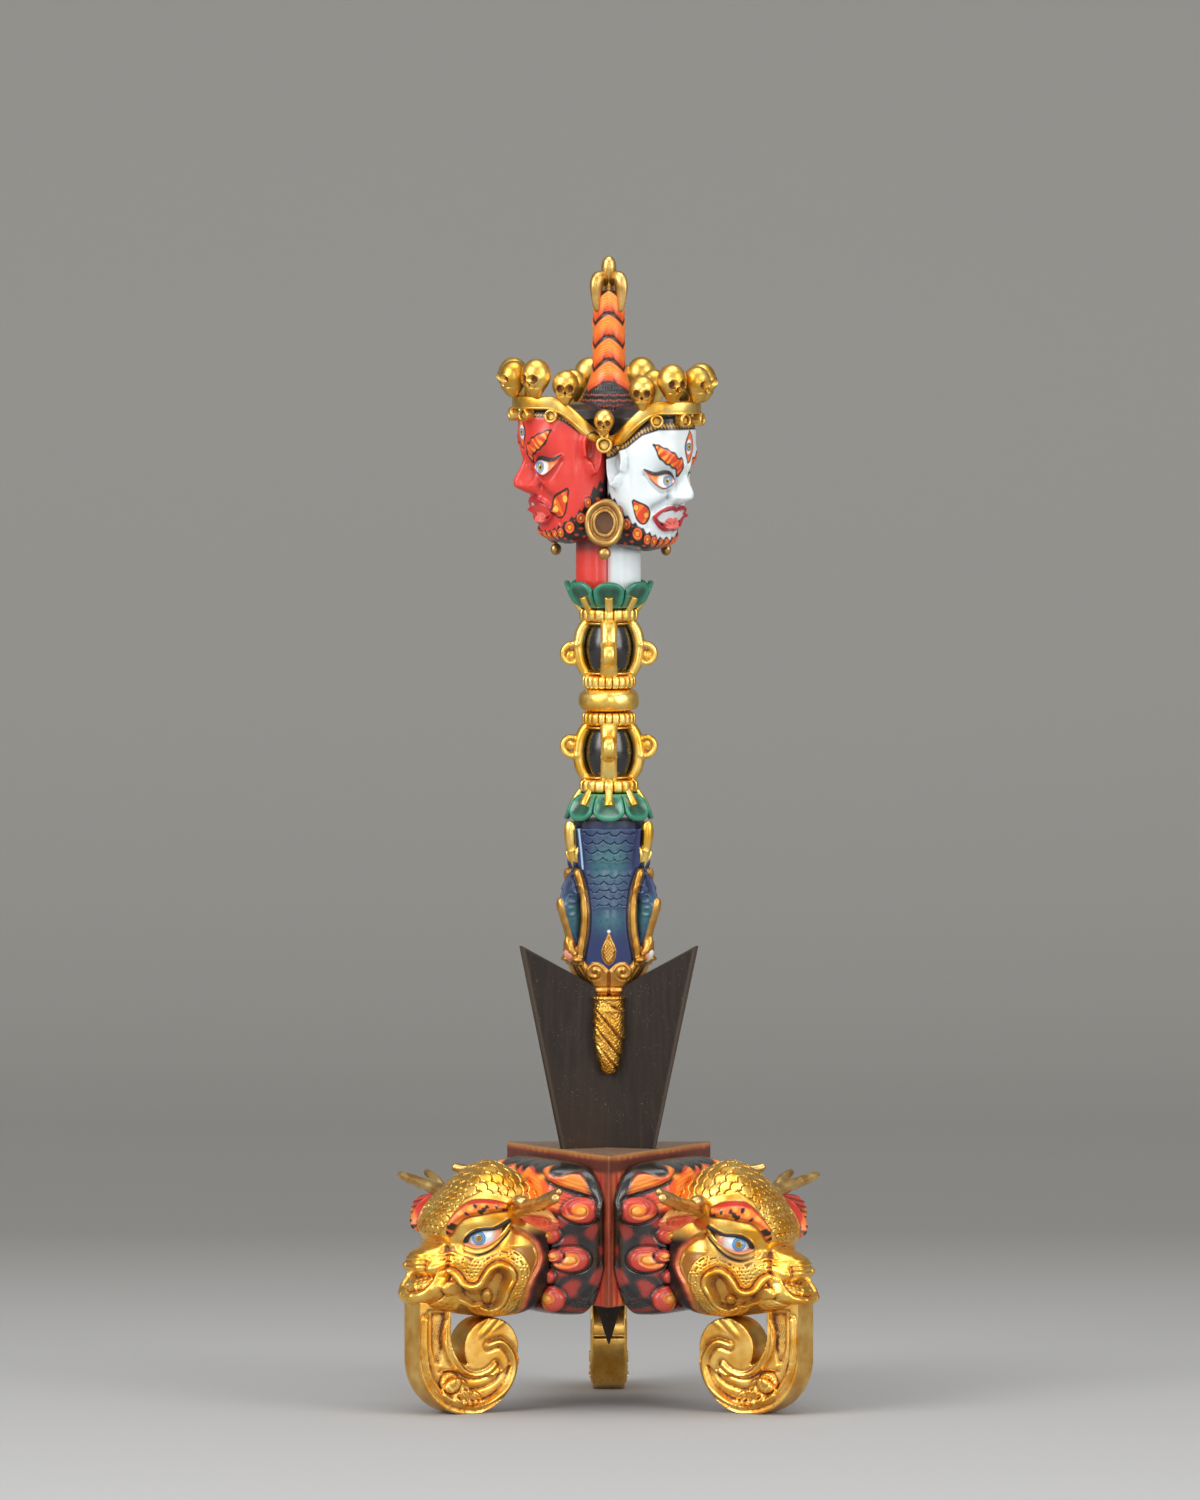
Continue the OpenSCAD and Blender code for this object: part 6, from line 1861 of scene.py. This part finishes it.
# %% [markdown]
# Its paint follows the same lines: gold where the relief stands up, then blue and teal,
# with painted highlights on the raised scale edges and along one side of the panel, and
# painted shade in the scale grooves.

# %% Makara paint
gold = np.maximum.reduce([edge(crescent, 0.95, 0.15), edge(ear_rim, 0.85, 0.15),
                          step(collar, -0.15, 0.1) * (z < 25), step(leaf, -0.1, 0.1)])
colour = ground_coat(p, "#1d2b56")
teal = (np.exp(-((z - 34.5) / 4.5) ** 2 - (v / 5.0) ** 4)
        + 0.8 * np.exp(-((z - 19.5) / 3.2) ** 2 - (v / 4.2) ** 4))
ear = step(v, 6.6, 7.6) * (z < 33)
teal = teal + ear * bump(z, 20, 5.2) * 0.9
colour = coats(colour, [
    (teal, "#2f6068"),
    # painted highlight on the raised edge of each scale
    (0.8 * (upper * h1 + lower * h2) ** 1.5 * (1 - np.maximum(upper * g1, lower * g2))
     * np.exp(-(v / 4.6) ** 4), "#8fb8bc"),
    # painted shade in the scale grooves
    (np.maximum(upper * g1, lower * g2) * 0.8, "#0e1630"),
    (0.55 * step(sin(z * 2.2 + signed * 1.3) * sin(signed * 2.1 - z), 0.5, 0.9), "#1f2c5c"),
    (edge(abs(v - half - 0.25), 0.28, 0.2) * (z > 32.5), "#16204a"),
    # a painted highlight along the panel's edge, on one side only
    (edge(abs(v - half - 0.75), 0.22, 0.15) * (z > 32.5) * (signed < 0), "#9fc0dc"),
    (edge(abs(crescent - 1.15), 0.25, 0.15), "#141a2c"),
    (edge(hypot(signed, z - 16.5), 0.42, 0.15), "#d8dcd8")])
gold = gold * (1 - edge(hypot(signed, z - 16.5), 0.42, 0.15))
brush(group, coat(colour, 0.6 * step(hollow, 0.6, 0.9), "#10162c"))
gilt_mask(group, gold)
to_frame(group, "phurba", "makara_paint", old_gold, ["makara_front", "makara_right", "makara_left"],
         sharp=80)
print("makara group:", len(group.data.polygons), "faces")

# %% [markdown]
# The makaras share smooth bright horns down the corners, each with a turned joint
# and small gold curls behind it, and one eyeball to each corner, pink at the rim.

# %% Makara horns, eyes and core
parts = []
for azimuth in SIDES.values():
    z0 = MAK + 33.4
    horn = clay("horn", 40, 120, roll([[9.6, 0, z0 - 1.0, 0.9, 0.9], [10.1, 0, z0 + 1.2, 1.3, 1.3],
                                       [10.7, 0, z0 + 3.6, 1.5, 1.5], [10.8, 0, z0 + 4.2, 1.75, 1.75],
                                       [11.0, 0, z0 + 4.8, 1.5, 1.5],
                                      [11.3, 0, z0 + 6.6, 1.65, 1.65], [11.5, 0, z0 + 8.6, 1.7, 1.7],
                                       [11.5, 0, z0 + 10.4, 1.6, 1.6], [11.2, 0, z0 + 11.6, 1.2, 1.2]],
                                      ref=(0, 1, 0), cap=0.06))
    group_parts = [horn]
    for side in (-1, 1):
        rod = clay("curl", 14, 40, roll([[9.2, side * 1.6, z0 + 5.2, 0.4, 0.4],
                                         [10.6, side * 2.4, z0 + 4.4, 0.5, 0.5],
                                         [11.1, side * 2.3, z0 + 2.8, 0.5, 0.5],
                                         [10.4, side * 1.9, z0 + 1.4, 0.55, 0.55],
                                         [9.3, side * 1.8, z0 + 0.6, 0.4, 0.4]], ref=(0, 0, 1), cap=0.1))
        group_parts.append(rod)
    for piece in group_parts:
        parts.append(turned(piece, azimuth))
horns = join("makara_horns_smooth", parts)
hollows(horns, 12, 0.3)
to_frame(horns, "phurba", "makara_paint", bright_gilt, ["makara_horns"])
balls = []
for azimuth in SIDES.values():
    balls.append(turned(ball("ball", 48, 32, (10.9, 0, MAK + 10.6), (2.3, 2.3, 2.3)), azimuth))
balls = join("makara_eyes_glossy", balls)
p = points(balls)
away = abs(off_nearest(turn_of(p), 210, 120))
colour = ground_coat(p, "#e2e4de")
brush(balls, coat(colour, step(away, 3, 7) * (p[:, 0] > 0) + (p[:, 0] <= 0) * 0.9, "#e58a66"))
hollows(balls, 4)
to_frame(balls, "phurba", "pearl_paint", eye_enamel, ["makara_eyes"])
core = own_mesh("makara_core", "makara_core_painted")
hollows(core, 2)
to_frame(core, "phurba", "makara_paint", glossy("dark blue paint", base="#1c2748"), ["makara_core"])
print("makara horns:", len(horns.data.polygons), "faces")

# %% [markdown]
# Each brow wears a band that is high in front and dips to a point where two heads
# meet. Skulls stand on it and small cups hang below it. One pattern makes every skull
# in its own size: an egg with a narrow jaw, sockets, a nose hole and a row of teeth.

# %% Skulls and cups
BAND = CHIN + 36.6
print("crown band at", BAND)


def skull(r, jaw=1.0):
    def shape(turn, t):
        a, b = np.radians(turn), pi * t
        x, y, z = cos(a) * sin(b), sin(a) * sin(b), -cos(b)
        drop = step(-z, 0.05, 0.9)
        width = 1 - 0.36 * drop
        x, y, z = x * (1 - 0.16 * drop) + 0.06 * drop, y * width, np.where(z < 0, z * 1.55 * jaw, z * 1.12)
        out = np.zeros(len(x))
        for sy, sz, size, depth in [(0.36, -0.22, 0.25, -0.30), (0.0, -0.56, 0.12, -0.16)]:
            for side in (-1, 1):
                d = hypot(y - side * sy, z - sz)
                out = out + depth * edge(d, size, 0.08) + (0.07 * bump(d, size + 0.10, 0.07) if sy else 0)
        out = (out + 0.08 * bump(z, -0.92, 0.10) - 0.06 * bump(z, -0.80, 0.04)
               - 0.06 * bump(z, -0.94, 0.03) * (abs(y) < 0.4))
        out = out + 0.06 * bump(abs(y), 0.5, 0.16) * bump(z + 0.56, 0, 0.14)
        x = x + out * (x > 0)
        return r * np.stack([x, y, z], -1)
    return clay("skull", 80, 64, shape)


def cup(r):
    rise = [(0, -1.6), (r * 0.96, -1.6), (r, -1.2), (r, 0.9), (r * 0.96, 1.3), (r * 0.82, 1.4),
            (r * 0.68, 1.25), (r * 0.6, 0.5), (r * 0.3, 0.35), (0, 0.35)]
    piece = clay("cup", 32, 30, turned_profile(rise))
    piece.data.transform(Matrix.Rotation(math.radians(90), 4, "Y"))
    return piece


def moved(piece, x, y, z, azimuth=0.0):
    piece.data.transform(Matrix.Translation((x, y, z)) @ Matrix.Rotation(math.radians(azimuth), 4, "Z"))
    return piece


# %% [markdown]
# The band is a flat ribbon bent round an ellipse. The red head wears its crown a
# little over a millimetre higher than the white one, as its face sits higher too.

# %% Crowns
def crown_at(a, grow=0.0):
    r = 1 / math.hypot(math.cos(math.radians(a)) / (14.4 + grow), math.sin(math.radians(a)) / (11.3 + grow))
    return HEAD_OUT + r * math.cos(math.radians(a)), r * math.sin(math.radians(a))


def band_fall(a):
    t = min(1, max(0, (abs(a) - 38) / 70))
    return 9 * t * t * (3 - 2 * t)


def crown(name, up):
    path = [[*crown_at(a), BAND - band_fall(a) + up, 0.95, 1.75] for a in np.linspace(-111, 111, 31)]
    parts = [clay("band", 24, 260, roll(path, ref=(0, 0, 1), cap=0.012, square=0.6))]
    bead = [[*crown_at(a, 0.75), BAND - band_fall(a) + up - 1.35, 0.35, 0.35]
            for a in np.linspace(-110, 110, 31)]
    parts.append(clay("lower bead", 10, 260, roll(bead, ref=(0, 0, 1), cap=0.012)))
    for a, r in [(0, 3.6), (-28, 3.9), (28, 3.9), (-60, 3.5), (60, 3.5)]:
        x, y = crown_at(a, 1.6 - abs(a) / 50)
        parts.append(moved(skull(r), x, y, BAND + 3.2 + r - band_fall(a) + up, a))
    for a in (-44, -14, 14, 44):
        x, y = crown_at(a, 0.4)
        parts.append(moved(cup(1.75), x, y, BAND - 3.2 - band_fall(a) + up, a))
    return join(name, parts)


crown_gold = gilding("crown gold, rubbed", leaf="#cf9830", light="#f0cf78", ground="#94560f",
                     dark="#4a2208", shine=0.36, wear=0.4, bump_mm=0.02)
for (name, azimuth), up in zip(FACES.items(), (1.0, -0.3, 0.2)):
    piece = crown("crown_" + name + "_carved", up)
    hollows(piece, 18, 0.3)
    to_frame(piece, "phurba", "crown_gilt", crown_gold, ["crown_" + name], azimuth, sharp=60)
parts = []
for azimuth in VALLEYS.values():
    z = BAND - 9
    for part in (moved(skull(2.65), 17.6, 0, z + 5.4), moved(cup(2.15), 17.4, 0, z - 0.9),
                 moved(clay("link", 24, 20, roll([[16.6, 0, z - 2, 1.2, 0.7], [16.7, 0, z + 4, 1.2, 0.7]],
                                                 ref=(1, 0, 0), cap=0.1)), 0, 0, 0)):
        parts.append(turned(part, azimuth - TWIST))
seams = join("seam_jewels_carved", parts)
hollows(seams, 18, 0.3)
to_frame(seams, "phurba", "crown_gilt", crown_gold, ["seam_jewels"], sharp=60)
print("crown:", len(piece.data.polygons), "faces, seam jewels:", len(seams.data.polygons))

# %% [markdown]
# The earrings hang in the seams between the heads. Each is an oval dish with two
# raised rings and a hole for a stone that has been lost, and a bead hangs below it.

# %% Earrings
DISH = [(0, 0), (0.9, 0), (1.0, 0.5), (1.0, 1.2), (0.95, 1.75), (0.86, 1.95), (0.76, 1.65), (0.70, 1.2),
        (0.63, 1.25), (0.56, 1.8), (0.47, 1.8),
        (0.43, 1.2), (0.40, -0.3), (0.34, -0.6), (0, -0.7)]


def earring():
    run = turned_profile([(6.3 * r, x) for r, x in DISH])

    def shape(turn, t):
        p = run(turn, t)
        uneven = 1 + 0.015 * sin(np.radians(turn * 3)) + 0.012 * sin(np.radians(turn * 5 + 40))
        return np.stack([15.85 + p[:, 2], 0.82 * p[:, 1] * uneven, CHIN + 6.4 + p[:, 0] * uneven], -1)
    dish = clay("dish", 90, 90, shape)
    bead = ball("bead", 32, 24, (16.6, 0, CHIN - 1.5), (1.3, 1.65, 1.6))
    stem = clay("stem", 20, 20, roll([[10.2, 0, CHIN + 6.4, 1.3, 1.3], [15.9, 0, CHIN + 6.4, 1.3, 1.3]],
                                     ref=(0, 1, 0), cap=0.02))
    dish.data.flip_normals()
    return [dish, bead, stem]


parts = [turned(part, azimuth - TWIST) for azimuth in VALLEYS.values() for part in earring()]
earrings = join("earrings_turned", parts)
hollows(earrings, 18, 0.35)
p = points(earrings)
brush(earrings, ground_coat(p, "#5e3822"))
pit = np.zeros(len(p))
for azimuth in VALLEYS.values():
    a = math.radians(azimuth - TWIST)
    out = p[:, 0] * math.cos(a) + p[:, 1] * math.sin(a)
    across = -p[:, 0] * math.sin(a) + p[:, 1] * math.cos(a)
    stone = hypot(across / 2.25, (p[:, 2] - CHIN - 6.4) / 2.75)
    pit = np.maximum(pit, (out > 14) * edge(stone, 1.0, 0.1))
gilt_mask(earrings, 1 - 0.9 * pit)
earring_gold = part_gilt("aged bronze-gold on wood", leaf="#a8793c", light="#c9a566", ground="#7c4a22",
                         dark="#3a2010", shine=0.4, wear=0.5, bump_mm=0.05, grime=0.05)
to_frame(earrings, "phurba", "earring_gilt", earring_gold, ["earrings"], sharp=60)
print("earrings:", len(earrings.data.polygons), "faces")

# %% [markdown]
# The hair is drawn up in a column over a round foot. Four broad orange locks wrap it
# like chevrons with black between them, and the foot is black with thin red strokes.

# %% Topknot
HAIR_FOOT = 7.5
side = curve([(HAIR_FOOT, 0.4), (7.6, 1.6), (7.3, 3.4), (6.6, 5.4), (5.6, 7.8), (4.7, 10), (4.15, 12.4),
              (3.95, 16), (3.9, 22), (3.8, 29), (3.5, 32), (2.6, HAIR_TOP - HAIR - 0.05)], 60)
topknot = clay("topknot_wound", 200, 240,
               turned_profile([(0, -7), (5.2, -7), (6.6, -4), (HAIR_FOOT - 0.1, -0.8)] + side.tolist()
                              + [(0, HAIR_TOP - HAIR - 0.05)]))
p = points(topknot)
turn = turn_of(p)
a = abs(off_nearest(turn, 270, 120)) / 60
z = p[:, 2]
arch = z + 2.9 * a ** 1.4
band = (arch - 9.1) / 6.05
k = np.floor(band)
part_ = band - k
locks = (k >= 0) * (k <= 3)
on = locks * step(part_, 0.02, 0.10) * step(0.93 - part_, 0, 0.07 + 0.1 * a)
strands = 0.5 + 0.5 * sin(arch * 9 + turn * 0.11)
outside = step(hypot(p[:, 0], p[:, 1]), 2.6, 3.2)
foot = step(9.6 - arch, 0, 1.2)
rib = abs(sin(np.radians(turn * 26)))
relief(topknot, lambda _: outside
       * (on * (0.28 + 0.06 * strands) + 0.18 * bump(part_, 0.85, 0.2) * locks
          + foot * (0.14 * rib + 0.1 * sin(z * 2.4))))
colour = ground_coat(p, "#15100f")
colour = coats(colour, [
    (on, "#d9501a"),
    (on * step(part_ + 0.12 * strands, 0.22, 0.5), "#ee7b22"),
    (on * bump(part_, 0.62, 0.2) * step(strands, 0.2, 0.7) * step(0.8 - a, 0, 0.5), "#f6a63a")])
mark = bump(abs(a - 0.28), 0, 0.10) * bump(part_, 0.08, 0.14)
colour = coat(colour, 0.9 * mark * locks, "#2a1510")
red = (foot * step(sin(z * 4.6 + 0.6 * sin(turn * 0.3)), 0.25, 0.75) * step(6.6 - z, 0, 1.0)
       * step(z, 1.2, 2.4))
brush(topknot, coat(colour, 0.9 * red * (0.35 + 0.65 * rib), "#b4442c"))
hollows(topknot, 20, 0.3)
hair_paint = glossy("black and orange gloss paint, hair", rough=0.38, coat_weight=0.3, groove_dim=0.45,
                    bump_mm=0.04, stroke_mm=0.4)
to_frame(stood(topknot, HAIR), "phurba", "hair_paint", hair_paint, ["topknot"], sharp=70)
print("topknot from", HAIR, "to", HAIR_TOP)

# %% [markdown]
# The column ends in half a vajra: a bud with four fat prongs that close over it. The
# rod inside can't be seen, so its solid only gets the look of dull iron.

# %% Finial and rod
FIN = HAIR_TOP
parts = [stood(clay("bud", 48, 60,
                    turned_profile([(0, 0)] + curve([(1.5, 0), (1.25, 1.2), (1.2, 2.2), (1.6, 3.3),
                                                     (1.9, 5), (1.95, 6.2), (1.6, 7.8), (0.8, 8.7),
                                                     (0, 8.9)], 40).tolist())), TOP - 8.95)]
for i in range(4):
    prong = clay("prong", 28, 110,
                 roll([[4.0, 0, FIN - 5.6, 0.8, 0.5], [4.4, 0, FIN - 3.6, 1.3, 0.8],
                       [4.6, 0, FIN - 1, 1.75, 1.1], [4.5, 0, FIN + 1.2, 2.0, 1.5],
                                         [4.0, 0, FIN + 2.9, 1.9, 1.6], [2.8, 0, FIN + 3.4, 1.6, 1.45],
                                         [1.6, 0, FIN + 2.4, 1.2, 1.1], [1.1, 0, FIN + 1.2, 0.6, 0.6]],
                                        ref=(0, 1, 0), cap=0.08))
    parts.append(turned(prong, 45 + 90 * i))
finial = join("finial_carved", parts)
hollows(finial, 14, 0.3)
finial_gold = gilding("bronze-gold, rubbed", leaf="#b98c45", light="#e3c078", ground="#7a4a1c",
                      dark="#33200f", shine=0.38, wear=0.4, bump_mm=0.03)
to_frame(finial, "phurba", "crown_gilt", finial_gold, ["finial"], sharp=70)
rod = own_mesh("rod", "rod_steel")
steel, tree, shader = new_material("dull iron rod")
rust = add(tree, "TexNoise", "Fac", grain(add(tree, "TexCoord", "Object"), 2, 4))
rust = add(tree, "ValToRGB", "Color", {"Fac": rust}, [(0.35, "#4b4947"), (0.7, "#6c6864")])
feed(tree, shader, {"Base Color": rust, "Metallic": 1.0, "Roughness": 0.45})
to_frame(rod, "phurba", "rod_iron", steel, ["rod"])
print("finial:", len(finial.data.polygons), "faces, and the rod inside")
